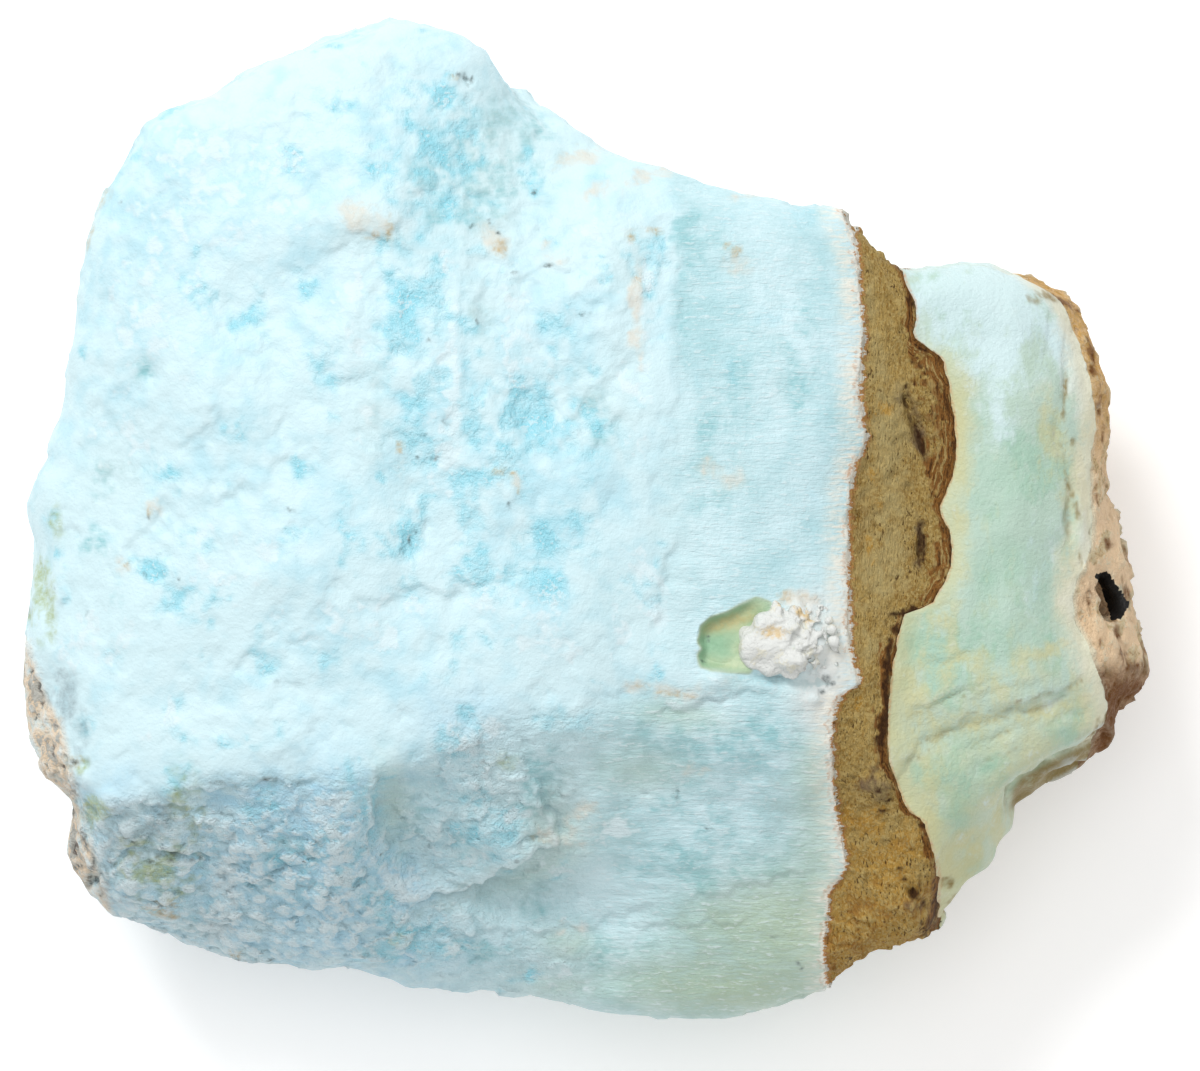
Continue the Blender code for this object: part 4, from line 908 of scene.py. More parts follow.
def reach_inside(outline, u, v):
    """How far each point lies inside a closed outline, negative outside it."""
    corners = np.array(outline, dtype=float)
    nearest = np.full(len(u), 1e9)
    for (start_u, start_v), (end_u, end_v) in zip(corners, np.roll(corners, -1, axis=0)):
        run_u, run_v = end_u - start_u, end_v - start_v
        share = ((u - start_u) * run_u + (v - start_v) * run_v) / (run_u * run_u + run_v * run_v)
        share = np.clip(share, 0.0, 1.0)
        nearest = np.minimum(nearest, np.hypot(u - start_u - share * run_u, v - start_v - share * run_v))
    return np.where(inside_outline(outline, u, v) > 0, nearest, -nearest)


def shape_vug(points, normals):
    """Give the vug its broken edge, steep at the upper left and easing out to the lower right."""
    u, v, h = own_coordinates(points)
    away = np.hypot(u - VUG_MIDDLE[0], v - VUG_MIDDLE[1])
    face = (normals[:, 2] > 0.0) & (h > FACE_LOW)
    ring = face & (away > VUG_RING[0]) & (away < VUG_RING[1])
    level = np.linalg.lstsq(np.c_[u[ring], v[ring], np.ones(ring.sum())], h[ring], rcond=None)[0]
    near = face & (away < VUG_REACH)
    flat = level[0] * u[near] + level[1] * v[near] + level[2]
    drift = ripples(points[near], 0.0014, 2)
    inside = reach_inside(VUG_EDGE, u[near], v[near]) + 1.6 * drift
    slope = ((u[near] - 700.0) * 0.8 + (v[near] - 610.0) * 0.5) / 60.0
    depth = VUG_DEPTH * 10.0 * smooth_step(inside - 1.5, 9.0) * np.clip(1.15 - 0.75 * slope, 0.25, 1.0)
    floor = flat - depth + 1.2 * drift
    keep = smooth_step(away[near] - 47.0, 16.0)
    points[near, 2] = (keep * h[near] + (1.0 - keep) * floor) * UNIT
    return points


def link(name, mesh):
    """A new object with this mesh."""
    made = bpy.data.objects.new(name, mesh)
    bpy.context.scene.collection.objects.link(made)
    return made


def modifier(thing, kind, **settings):
    """Add a modifier and set it up."""
    added = thing.modifiers.new(kind.title(), kind)
    for name, value in settings.items():
        setattr(added, name, value)
    return added


def apply_modifiers(thing):
    """Give the object its evaluated mesh and drop its modifiers."""
    bpy.context.view_layer.update()
    mesh = bpy.data.meshes.new_from_object(thing.evaluated_get(bpy.context.evaluated_depsgraph_get()))
    thing.modifiers.clear()
    old = thing.data
    thing.data = mesh
    bpy.data.meshes.remove(old)


def inside_box(points):
    """Stretch points a little so that they fill the solid's box and don't leave it."""
    low, high = (np.array(corner) for corner in CAD_BOX)
    middle = (low + high) / 2
    for axis in (0, 1):
        side = points[:, axis] - middle[axis]
        half = high[axis] - middle[axis]
        points[:, axis] = middle[axis] + side * np.where(side > 0, half / side.max(), half / -side.min())
    points[:, 2] = np.clip(points[:, 2], low[2], high[2])
    return points


def contact_block(name):
    """A block that fills everything past a contact, its near side the contact itself."""
    if name in bpy.data.objects:
        return bpy.data.objects[name]
    line, lean, face = CONTACTS[name]
    shaping = bmesh.new()
    bmesh.ops.create_grid(shaping, x_segments=BLOCK_ROWS[0], y_segments=BLOCK_ROWS[1], size=0.5)
    for corner in shaping.verts:
        v = BLOCK_V[0] + (corner.co.x + 0.5) * (BLOCK_V[1] - BLOCK_V[0])
        h = BLOCK_H[0] + (corner.co.y + 0.5) * (BLOCK_H[1] - BLOCK_H[0])
        depth = along(face, v) - h
        wobble = 3.0 * noise.noise((v / 14.0, h / 30.0, lean * 10.0))
        wobble += 8.0 * noise.noise((v / 60.0, h / 80.0, 4.0)) * (depth > 20)
        u = along(line, v) + lean * depth + wobble
        corner.co = place(u, v, h)
    far = bmesh.ops.extrude_face_region(shaping, geom=shaping.faces[:])
    corners = [item for item in far["geom"] if isinstance(item, bmesh.types.BMVert)]
    bmesh.ops.translate(shaping, verts=corners, vec=(BLOCK_DEPTH, 0.0, 0.0))
    bmesh.ops.recalc_face_normals(shaping, faces=shaping.faces)
    mesh = bpy.data.meshes.new(name)
    shaping.to_mesh(mesh)
    shaping.free()
    return link(name, mesh)


def cut_layer(name, cuts):
    """A layer's piece, cut from the skin by the contacts' blocks in the given ways."""
    piece = link(name, bpy.data.objects[SKIN].data.copy())
    for block, way in cuts.items():
        modifier(piece, "BOOLEAN", object=contact_block(block), operation=way, solver="MANIFOLD")
        apply_modifiers(piece)
    if len(piece.data.polygons) < 100:
        raise RuntimeError(f"{name} came out empty")
    return piece


def dress(piece, material):
    """Give a layer's piece the attributes that its material reads."""
    wanted = {node.attribute_name for node in material.node_tree.nodes if node.type == "ATTRIBUTE"}
    mesh = piece.data
    points = read(mesh)
    normals = read(mesh, "normal")
    zone = zones(points, normals)
    u, v = zone["u"], zone["v"]
    coarse = ripples(points, 0.0021, shift=31.0)
    other = ripples(points, 0.0021, shift=57.0)
    fine = ripples(points, 0.0007, 2, shift=37.0)
    facing = smooth_step(normals[:, 2] + 0.05, 0.3)

    def strayed(listed, stray):
        """Marks whose outlines stray by this much."""
        return marks(listed, u + stray * coarse, v + stray * other, 1.0)

    sugary = zone["sugary"] * zone["past_crest"] + zone["left_crust"] + 0.8 * zone["rugged"]
    streaked = zone["fibrous"] + 0.5 * zone["past_crest"] * (1.0 - zone["sugary"]) + 0.5 * zone["satin"]
    cyan = glassy_patches(points, u, v) * facing * (1.0 - zone["satin"]) * (1.0 - 0.7 * zone["fibrous"])
    values = {
        "upper": facing,
        "cloud": ripples(points, 0.008, shift=2.0),
        "puff": 0.7 * coarse + 0.5 * other,
        "dirt": ripples(points, 0.007, 4, shift=6.0),
        "band_edge": zone["band"],
        "lip_edge": zone["lip"],
        "crust_edge": zone["crust"],
        "fibrous": zone["fibrous"],
        "sugary": np.clip(sugary, 0, 1),
        "ground": zone["ground"],
        "ledge": zone["ledge"],
        "vug": zone["vug"],
        "vug_ochre": strayed(VUG_OCHRE, 3.0),
        "vug_cream": strayed(VUG_CREAM, 3.0),
        "bluer": strayed(BLUER, 12.0) * (0.75 + 0.5 * coarse),
        "greyer": strayed(GREYER, 12.0) * (0.75 + 0.5 * other),
        "lower": zone["past_crest"],
        "streaked": np.clip(streaked, 0, 1),
        "sage": strayed(SAGE, 5.0),
        "left_crust": zone["left_crust"] * facing,
        "cyan": cyan,
        "pit": inside_outline(PIT_EDGE, u, v) * (normals[:, 2] > -0.9) * (zone["h"] > 190),
        "cavity": nearest_cavity(points),
    }
    gritty = 0.35 + 0.6 * cyan + 1.1 * values["sugary"]
    values["gritty"] = gritty + 0.5 * values["lower"] * (1.0 - zone["satin"])
    west = np.clip(values["lower"] * smooth_step(AZURE_TO - u, 160.0) * (0.4 + values["puff"]), 0, 1)
    values["azure"] = np.clip(west + strayed(AZURE, 8.0) * (0.9 + 0.4 * other), 0, 1)
    for name, listed in SOFT_MARKS.items():
        values[name] = np.clip(strayed(listed, 7.0) * (0.95 + 0.4 * coarse), 0.0, 1.0) * facing
    for name, listed in BROKEN_MARKS.items():
        values[name] = broken(strayed(listed, 7.0), coarse, fine, 0.48, 1.0) * facing
    for name, listed in SMALL_MARKS.items():
        strength = marks(listed, u + 2.0 * other + 1.5 * fine, v + 2.0 * coarse + 1.5 * fine, 1.0)
        values[name] = broken(strength, 0.4 * coarse, fine, 0.4, 0.6) * facing
    for name in sorted(wanted):
        attribute = mesh.attributes.new(name, "FLOAT", "POINT")
        attribute.data.foreach_set("value", values[name].astype(np.float32))
    mesh.shade_smooth()
    mesh.set_sharp_from_angle(angle=math.radians(80))


def inside_outline(outline, u, v):
    """1 inside a closed outline and 0 outside it."""
    inside = np.zeros(len(u), dtype=bool)
    corners = np.array(outline, dtype=float)
    for (start_u, start_v), (end_u, end_v) in zip(corners, np.roll(corners, -1, axis=0)):
        crosses = (start_v > v) != (end_v > v)
        rise = end_v - start_v if end_v != start_v else 1e-9
        inside ^= crosses & (u < start_u + (v - start_v) * (end_u - start_u) / rise)
    return inside.astype(float)


def nearest_cavity(points):
    """The skin's hollowness nearest to each point."""
    skin = bpy.data.objects[SKIN].data
    hollow = np.empty(len(skin.vertices), dtype=np.float32)
    skin.attributes["cavity"].data.foreach_get("value", hollow)
    tree = KDTree(len(skin.vertices))
    for index, corner in enumerate(skin.vertices):
        tree.insert(corner.co, index)
    tree.balance()
    return np.array([hollow[tree.find(point)[1]] for point in points])


def hollowness(mesh, rounds=14):
    """How far each point lies under its smoothed surroundings, in millimetres."""
    points = read(mesh)
    normals = read(mesh, "normal")
    edges = np.empty(len(mesh.edges) * 2, dtype=np.int32)
    mesh.edges.foreach_get("vertices", edges)
    start, end = edges.reshape(-1, 2).T
    count = np.bincount(start, minlength=len(points)) + np.bincount(end, minlength=len(points))
    smoothed = points.copy()
    for _round in range(rounds):
        spread = np.empty_like(smoothed)
        for axis in range(3):
            spread[:, axis] = np.bincount(start, smoothed[end, axis], len(points))
            spread[:, axis] += np.bincount(end, smoothed[start, axis], len(points))
        smoothed = 0.5 * smoothed + 0.5 * spread / count[:, None]
    return ((smoothed - points) * normals).sum(axis=1) / MM


class Value:
    """A number that varies over a surface. Sums on it add Math nodes."""

    def __init__(self, paint, socket):
        self.paint = paint
        self.socket = socket

    def sum(self, operation, *numbers, clamp=False):
        """A Math node on these numbers."""
        settings = {"operation": operation, "use_clamp": clamp}
        return self.paint.value("ShaderNodeMath", settings, dict(enumerate(numbers)))

    def __add__(self, other):
        return self.sum("ADD", self, other)

    def __radd__(self, other):
        return self.sum("ADD", other, self)

    def __sub__(self, other):
        return self.sum("SUBTRACT", self, other)

    def __rsub__(self, other):
        return self.sum("SUBTRACT", other, self)

    def __mul__(self, other):
        return self.sum("MULTIPLY", self, other)

    def __rmul__(self, other):
        return self.sum("MULTIPLY", other, self)

    def clamped(self):
        """The same, kept from 0 to 1."""
        return self.sum("ADD", self, 0.0, clamp=True)

    def step(self, low, high):
        """0 at low, 1 at high, and soft between."""
        return self.paint.value(
            "ShaderNodeMapRange", {"interpolation_type": "SMOOTHSTEP", "clamp": True},
            {"Value": self, "From Min": low, "From Max": high, "To Min": 0.0, "To Max": 1.0},
        )


class Paint:
    """One procedural material."""

    def __init__(self, name, colours):
        self.material = bpy.data.materials.new(name)
        self.material.use_nodes = True
        self.tree = self.material.node_tree
        self.colours = colours
        self.shader = self.tree.nodes["Principled BSDF"]
        place_in_metres = self.add("ShaderNodeTexCoord", {}, {}, "Object")
        settings = {"operation": "SCALE"}
        self.place = self.add("ShaderNodeVectorMath", settings, {"Vector": place_in_metres, "Scale": 1 / MM})

    def add(self, kind, settings, sockets, output=None):
        """Add a node, its settings first and then its sockets' values or links, and give one output."""
        node = self.tree.nodes.new(kind)
        for name, value in settings.items():
            setattr(node, name, value)
        for key, value in sockets.items():
            if isinstance(key, int):
                socket = node.inputs[key]
            else:
                socket = next(item for item in node.inputs if item.name == key and item.enabled)
            value = getattr(value, "socket", value)
            if isinstance(value, bpy.types.NodeSocket):
                self.tree.links.new(value, socket)
            elif socket.type == "RGBA":
                socket.default_value = (*value, 1.0)
            else:
                socket.default_value = value
        outputs = [item for item in node.outputs if item.enabled and output in (None, item.name)]
        return outputs[0]

    def value(self, kind, settings, sockets, output=None):
        """Add a node and give one output as a number to reckon with."""
        return Value(self, self.add(kind, settings, sockets, output))

    def attribute(self, name):
        """One of the piece's own attributes."""
        return self.value("ShaderNodeAttribute", {"attribute_name": name}, {}, "Fac")

    def spread(self, stretch, shift):
        """The place, stretched along each axis and shifted, in millimetres."""
        sockets = {0: self.place, 1: stretch, 2: (shift, shift * 0.7, shift * 1.3)}
        return self.add("ShaderNodeVectorMath", {"operation": "MULTIPLY_ADD"}, sockets)

    def speckle(self, size, shift, stretch=(1.0, 1.0, 1.0), detail=3.0):
        """Fine noise about zero, of this size in millimetres."""
        scale = tuple(1.0 / (size * part) for part in stretch)
        sockets = {"Vector": self.spread(scale, shift), "Scale": 1.0, "Detail": detail, "Roughness": 0.62}
        return self.value("ShaderNodeTexNoise", {"noise_dimensions": "3D"}, sockets) - 0.5

    def fibre(self):
        """Fine streaks about zero, that run across the band."""
        return self.speckle(0.32, FIBRE_SHIFT, (5.0, 1.0, 3.0), 2.0)

    def teeth(self, fibre):
        """Distance past the toothed contact between blue calcite and band, in millimetres."""
        coarse = self.speckle(0.6, 3.0, (6.0, 0.9, 2.0), 3.0)
        return self.attribute("band_edge") + 1.35 * coarse + 0.8 * fibre

    def down(self):
        """How far down the face from its middle, in millimetres."""
        return 0.0 - self.value("ShaderNodeSeparateXYZ", {}, {"Vector": self.place}, "Y")

    def grain_shade(self, size, shift):
        """A number from 0 to 1 for each grain."""
        sockets = {"Vector": self.spread((1.0 / size,) * 3, shift), "Scale": 1.0}
        colour = self.add("ShaderNodeTexVoronoi", {"feature": "F1"}, sockets, "Color")
        return self.value("ShaderNodeSeparateColor", {}, {"Color": colour}, "Red")

    def mix(self, factor, *colours):
        """A mix of two colours, each a named colour or a socket."""
        first, second = (getattr(self.colours, item) if isinstance(item, str) else item for item in colours)
        settings = {"data_type": "RGBA", "clamp_factor": True}
        return self.add("ShaderNodeMix", settings, {"Factor": factor, "A": first, "B": second})

    def bump(self, height, distance):
        """A normal bent by a height, given in multiples of a distance in millimetres."""
        return self.add("ShaderNodeBump", {}, {"Strength": 1.0, "Distance": distance * MM, "Height": height})

    def finish(self, piece, slot, colour, roughness, normal, **constants):
        """Wire up the shader and give the material to the piece."""
        self.tree.links.new(colour, self.shader.inputs["Base Color"])
        self.tree.links.new(roughness.socket, self.shader.inputs["Roughness"])
        self.tree.links.new(normal, self.shader.inputs["Normal"])
        for name, value in constants.items():
            self.shader.inputs[name.replace("_", " ")].default_value = value
        piece.data.materials.clear()
        piece.data.materials.append(self.material)
        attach(piece, BODY)
        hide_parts(SOLID)


def blue_surface(paint):
    """Colour, roughness and normal of the blue calcite."""
    get = paint.attribute
    cloud, puff, cavity = get("cloud"), get("puff"), get("cavity")
    fibrous, lower, sugary = get("fibrous"), get("lower"), get("sugary")
    cyan, streaked = get("cyan"), get("streaked")
    grit = paint.speckle(0.5, GRIT_SHIFT)
    fibre = paint.fibre()

    bluer = (cloud * 0.6 + puff * 0.6 + get("bluer") * 0.7 - 0.1).step(-0.2, 0.8)
    colour = paint.mix(bluer, "face", "face_deep")
    colour = paint.mix((get("greyer") * (0.6 + grit)).clamped(), colour, "shade_pale")
    colour = paint.mix(streaked * (0.55 + fibre * 1.5 + puff * 0.3 + cloud * 0.5).clamped(), colour, "teal")
    colour = paint.mix(lower * (puff * 1.0 + cloud * 0.7 + grit).clamped() * 0.5, colour, "shade")
    colour = paint.mix((get("azure") * (0.9 + grit)).clamped() * 0.85, colour, "azure")
    colour = paint.mix((get("teal") * (0.8 + fibre * 2.2 + grit)).clamped() * 0.8, colour, "teal_deep")
    colour = paint.mix((get("sage") * (0.9 + fibre * 1.2)).clamped() * 0.9, colour, "sage")
    # Painted shade from the SHADE marks
    colour = paint.mix((get("shade") * (0.7 + grit * 1.8)).clamped() * 0.8, colour, "shade")
    colour = paint.mix(cyan * (0.85 + grit * 0.9 + puff * 0.4).clamped() * 0.95, colour, "cyan")
    colour = paint.mix(cyan * (grit + puff * 0.2).step(0.08, 0.2) * 0.55, colour, "chalk")
    chalk = (get("chalk") + puff * 0.5 + grit * 0.8 - 0.25).step(0.0, 0.9)
    colour = paint.mix(chalk * (1.0 - fibrous * 0.6) * 0.75, colour, "chalk")
    # White fibre dashes, partly the fibres' own white and partly painted glints
    colour = paint.mix(streaked * (fibre * 1.6 + grit * 0.5).step(0.06, 0.34) * 0.6, colour, "chalk")
    # Partly white sugar, partly painted highlight: the sugary grains are whitened where they stand out
    colour = paint.mix(sugary * (grit * 0.7 - cavity * 1.6).step(-0.06, 0.24) * 0.85, colour, "chalk")
    # Painted shade: the sugary ground's hollows are darkened with the grey glassy colour, less where it is
    # azure
    sugary_shade_weight = (1.0 - get("azure") * 0.7) * 0.5
    sunk = (cavity * 1.8 - grit * 0.6 - puff * 0.2).step(0.1, 0.6)
    colour = paint.mix(sugary * sunk * sugary_shade_weight, colour, "glassy")
    colour = paint.mix((get("glassy") * (0.7 + grit * 1.5)).clamped() * 0.8, colour, "glassy")
    colour = paint.mix((get("olive") * (0.7 + fibre + grit * 1.6)).clamped() * 0.9, colour, "olive")

    side = 1.0 - get("upper")
    dirt = get("dirt")
    colour = paint.mix(side * (cloud * 0.8 + puff * 0.6).step(-0.3, 0.6) * 0.55, colour, "shade")
    colour = paint.mix(side * (dirt + puff * 0.4 + cavity * 0.6).step(-0.1, 0.7) * 0.6, colour, "stain")
    colour = paint.mix(side * (dirt * 0.7 + grit + cavity * 1.6).step(0.25, 0.9) * 0.6, colour, "khaki")
    left_crust = get("left_crust")
    colour = paint.mix(left_crust * (0.7 + puff + grit).clamped(), colour, "crust")
    glassy = (grit + puff * 0.6 + cavity * 0.5).step(0.05, 0.25)
    colour = paint.mix(left_crust * glassy * 0.7, colour, "glassy")
    # Painted shade: the left crust's hollows are darkened with umber by their depth
    colour = paint.mix(left_crust * (cavity * 3.0 + puff * 0.5 - grit).step(0.3, 0.7) * 0.85, colour, "umber")
    colour = paint.mix((get("stain") * (0.9 + grit)).clamped() * 0.85, colour, "stain")
    colour = paint.mix((get("rust") * (0.65 + grit * 2.4 + cavity)).clamped() * 0.8, colour, "rust")
    vug = paint.mix(get("vug_ochre") * (0.8 + grit).clamped(), "vug_green", "vug_ochre")
    vug = paint.mix(get("vug_cream") * (0.85 + grit).clamped(), vug, "vug_cream")
    # Partly painted shade: the vug's wall is tinted sage, as the grey-green of its shaded upper wall
    colour = paint.mix(get("vug").step(0.1, 0.6) * 0.9, colour, "sage")
    colour = paint.mix(get("vug").step(0.5, 1.0) * 0.95, colour, vug)

    ground = get("ground")
    colour = paint.mix((ground * (1.1 + grit)).clamped() * 0.85, colour, "nodule")
    # Painted shade: the white ground's hollows are greyed by their depth
    colour = paint.mix(ground * (cavity * 2.0 - grit - puff * 0.3).step(0.12, 0.35) * 0.6, colour, "shade")
    edge = paint.teeth(fibre)
    near_band = get("band_edge").step(-3.2, -0.6) * (1.0 - get("sage") * 0.5)
    colour = paint.mix(near_band * (0.6 + fibre * 3.0 + puff * 0.6).clamped() * 0.95, colour, "fringe")
    colour = paint.mix(edge.step(-0.75, -0.55) * (0.2 + grit * 2.5 + puff).clamped() * 0.7, colour, "rim")
    colour = paint.mix(edge.step(-0.45, -0.25) * (1.0 - edge.step(-0.12, 0.0)) * 0.8, colour, "fringe")
    colour = paint.mix(edge.step(-0.1, 0.05), colour, "rim")
    colour = paint.mix(edge.step(0.12, 0.3), colour, "khaki")
    colour = paint.mix((get("speck") * (0.75 + grit * 3.0)).clamped() * 0.9, colour, "speck")
    clear = (1.0 - get("vug")) * (1.0 - cyan * 0.6)
    # Painted shade: the blue calcite's hollows are darkened by their depth
    colour = paint.mix((cavity * 2.4 + grit * 0.8).step(0.15, 1.2) * clear * 0.5, colour, "hollow")
    # Painted highlight: bumps and ridges are whitened by how far they stand out
    colour = paint.mix((cavity * -3.0).step(0.1, 1.0) * 0.4, colour, "chalk")

    rough = 0.56 - 0.2 * cyan - 0.15 * get("glassy") - 0.1 * streaked
    normal = paint.bump(grit * get("gritty") + fibre * streaked * 0.45, 0.32)
    return colour, rough, normal


def band_surface(paint):
    """Colour, roughness and normal of the brown band."""
    get = paint.attribute
    cloud, puff, cavity = get("cloud"), get("puff"), get("cavity")
    grit = paint.speckle(0.34, GRIT_SHIFT, (0.7, 2.2, 1.2), 4.0)
    grain = paint.grain_shade(0.26, 2.0)
    lip_edge = get("lip_edge")
    sheets = {"X": lip_edge * 2.4 + puff * 1.1 + grit * 0.6, "Y": cloud, "Z": puff * 0.5}
    sheets = paint.add("ShaderNodeCombineXYZ", {}, sheets)
    lamina = paint.value("ShaderNodeTexNoise", {}, {"Vector": sheets, "Scale": 1.0, "Detail": 2.0}) - 0.5
    low = paint.down().step(24.0, 40.0)
    colour = paint.mix((cloud * 0.4 + puff * 0.4 + grit * 4.0).step(-0.5, 0.6), "khaki", "khaki_dark")
    colour = paint.mix((get("band_olive") * (0.9 + grit * 2.4)).clamped() * 0.85, colour, "olive_pale")
    ochre = (get("band_ochre") * 0.7 + low * 0.75 + puff * 0.4 + grit * 2.0).step(0.1, 1.0)
    colour = paint.mix(ochre * 0.9, colour, "ochre")
    colour = paint.mix((grain - 0.5 + grit * 1.6).step(0.0, 0.34) * 0.55, colour, "straw")
    colour = paint.mix(low * (0.5 + grit * 3.0).clamped() * 0.4, colour, "straw")
    colour = paint.mix(low * (puff * 0.9 - grit * 2.6 + 0.1).clamped() * 0.8, colour, "lip")
    colour = paint.mix((get("band_mauve") * (0.9 + grit)).clamped() * 0.9, colour, "mauve")
    lip = (get("band_lip") + lip_edge.step(-1.0, -0.1) * 0.8 + grit * 0.8).step(0.25, 0.8)
    colour = paint.mix(lip * 0.9, colour, "lip")
    colour = paint.mix(lip * (lamina + grit * 0.6).step(0.03, 0.16) * 0.65, colour, "straw")
    colour = paint.mix(lip * (grit * 0.6 - lamina).step(0.02, 0.16) * 0.8, colour, "umber")
    colour = paint.mix((0.0 - grit - puff * 0.1).step(0.09, 0.19) * 0.85, colour, "umber")
    # Painted shadow: a dark line along the band's lip, where it meets the green calcite
    colour = paint.mix(lip_edge.step(-0.28, -0.04) * (0.5 + grit * 3.0).clamped(), colour, "umber")
    # Painted shade: the band's hollows are darkened by their depth
    colour = paint.mix((cavity * 2.4 + grit * 1.4).step(0.35, 1.1) * 0.75, colour, "umber")
    # Painted highlight, mixed with grain noise: the band's bumps are lightened by how far they stand out
    colour = paint.mix((cavity * -2.8 + grit * 1.4).step(0.15, 1.0) * 0.6, colour, "straw")
    colour = paint.mix((get("band_dark") * (1.1 + grit * 2.0)).clamped() * 0.95, colour, "umber")
    edge = paint.teeth(paint.fibre())
    colour = paint.mix((0.45 - edge).step(-0.1, 0.2) * (0.6 + grit * 3.0).clamped(), colour, "rim")
    colour = paint.mix((0.12 - edge).step(-0.04, 0.1), colour, "fringe")
    rough = 0.82 - 0.12 * grain
    normal = paint.bump(grit * 2.6 + grain * 0.3 + lamina * 1.5 * lip, 0.32)
    return colour, rough, normal


def green_surface(paint):
    """Colour, roughness and normal of the green calcite."""
    get = paint.attribute
    cloud, puff, dirt, cavity = get("cloud"), get("puff"), get("dirt"), get("cavity")
    grit = paint.speckle(0.45, GRIT_SHIFT, detail=4.0)
    wisp = paint.speckle(2.2, 12.0, (0.8, 1.9, 1.0), 3.0)
    down = paint.down()
    lip_edge, crust_edge = get("lip_edge"), get("crust_edge")
    low_cream = (down.step(4.0, 30.0) * 0.7 + puff * 0.3 + wisp * 1.2 - 0.1).clamped()
    colour = paint.mix(low_cream * 0.85, "green", "cream")
    colour = paint.mix((get("green_teal") * (0.95 + wisp * 1.2 + grit)).clamped(), colour, "green_deep")
    colour = paint.mix((cloud + wisp * 2.4 - puff * 0.2 + grit).step(0.0, 0.6) * 0.6, colour, "green_deep")
    cream = (get("green_cream") + puff * 0.25 + wisp * 1.8 + grit * 0.8 - 0.1).step(-0.05, 0.8)
    colour = paint.mix(cream * 0.8, colour, "cream")
    sky = get("green_pale") + down.step(-8.0, -22.0) * 0.6 + wisp * 1.7 + puff * 0.2 + grit * 0.8 - 0.2
    sky = sky.step(-0.05, 0.8)
    colour = paint.mix(sky * 0.85, colour, "green_sky")
    near_lip = (lip_edge + puff * 0.8 + wisp * 2.0 + grit * 2.0).step(2.8, 0.2)
    colour = paint.mix(near_lip * down.step(-22.0, -13.0) * 0.7, colour, "cream")
    colour = paint.mix(lip_edge.step(0.35, 0.05) * (0.5 + grit * 3.0).clamped() * 0.8, colour, "rim")
    near_crust = (crust_edge + puff * 0.8 + wisp * 2.0 + grit * 2.0).step(-4.4, -0.6)
    colour = paint.mix(near_crust * 0.8, colour, "cream_light")
    # Brown spots and cracks, with painted shadow lines under the folds and beside the cream ridge
    colour = paint.mix((get("green_brown") * (0.85 + wisp + grit)).clamped() * 0.95, colour, "green_brown")
    # Painted shade: the steep hollow under the ledge is darkened with green-brown
    colour = paint.mix(get("ledge") * (1.05 + wisp * 1.2 + grit).clamped() * 0.95, colour, "green_brown")
    side = 1.0 - get("upper")
    colour = paint.mix(side * (dirt + puff * 0.5).step(-0.2, 0.4) * 0.75, colour, "green_brown")
    # Painted shade: the green calcite's hollows are darkened by their depth
    colour = paint.mix((cavity * 3.0 + grit * 0.8).step(0.1, 0.9) * 0.6, colour, "green_brown")
    # Painted highlight: the green calcite's bumps are whitened by how far they stand out
    colour = paint.mix((cavity * -3.2 + grit).step(0.1, 1.0) * 0.45, colour, "chalk")
    rough = 0.4 + 0.15 * cream
    normal = paint.bump(grit * 0.9, 0.2)
    return colour, rough, normal


def crust_surface(paint):
    """Colour, roughness and normal of the tan crust."""
    get = paint.attribute
    cloud, puff, cavity = get("cloud"), get("puff"), get("cavity")
    grit = paint.speckle(0.45, GRIT_SHIFT, detail=4.0)
    down = paint.down()
    colour = paint.mix((cloud * 0.4 + puff * 0.8 + grit * 1.8).step(-0.1, 0.9) * 0.6, "crust", "crust_dark")
    colour = paint.mix((grit + puff * 0.3).step(0.05, 0.18) * 0.6, colour, "cream_light")
    colour = paint.mix((puff - grit * 0.8).step(0.12, 0.4) * 0.6, colour, "rust")
    colour = paint.mix(down.step(-1.0, -15.0) * (0.8 + grit * 2.5).clamped() * 0.85, colour, "ochre")
    at_edge = (get("crust_edge") + puff * 0.5 + grit).step(0.9, 0.0) * (0.8 - down.step(-2.0, -10.0) * 0.6)
    colour = paint.mix(at_edge, colour, "cream_light")
    colour = paint.mix((get("crust_brown") * (0.9 + grit * 1.6)).clamped(), colour, "crust_brown")
    crevices = (0.0 - grit + puff * 0.3 + down.step(-1.0, -5.0) * 0.04).step(0.15, 0.26)
    colour = paint.mix(crevices * 0.4, colour, "crust_brown")
    # Painted shade: the crust's hollows are darkened by their depth
    colour = paint.mix((cavity * 3.2 + grit).step(0.3, 1.0) * 0.6, colour, "crust_brown")
    # Painted highlight: the crust's bumps are lightened by how far they stand out
    colour = paint.mix((cavity * -3.0 + grit).step(0.1, 0.9) * 0.65, colour, "cream_light")
    colour = paint.mix(down.step(13.5, 15.8) * (0.8 + grit).clamped() * 0.9, colour, "crust_brown")
    # Painted shadow: the inside of the deep hole is near-black
    colour = paint.mix(get("pit").step(0.4, 0.6), colour, "pit")
    rough = 0.7 + 0.2 * grit
    normal = paint.bump(grit * 2.4, 0.2)
    return colour, rough, normal


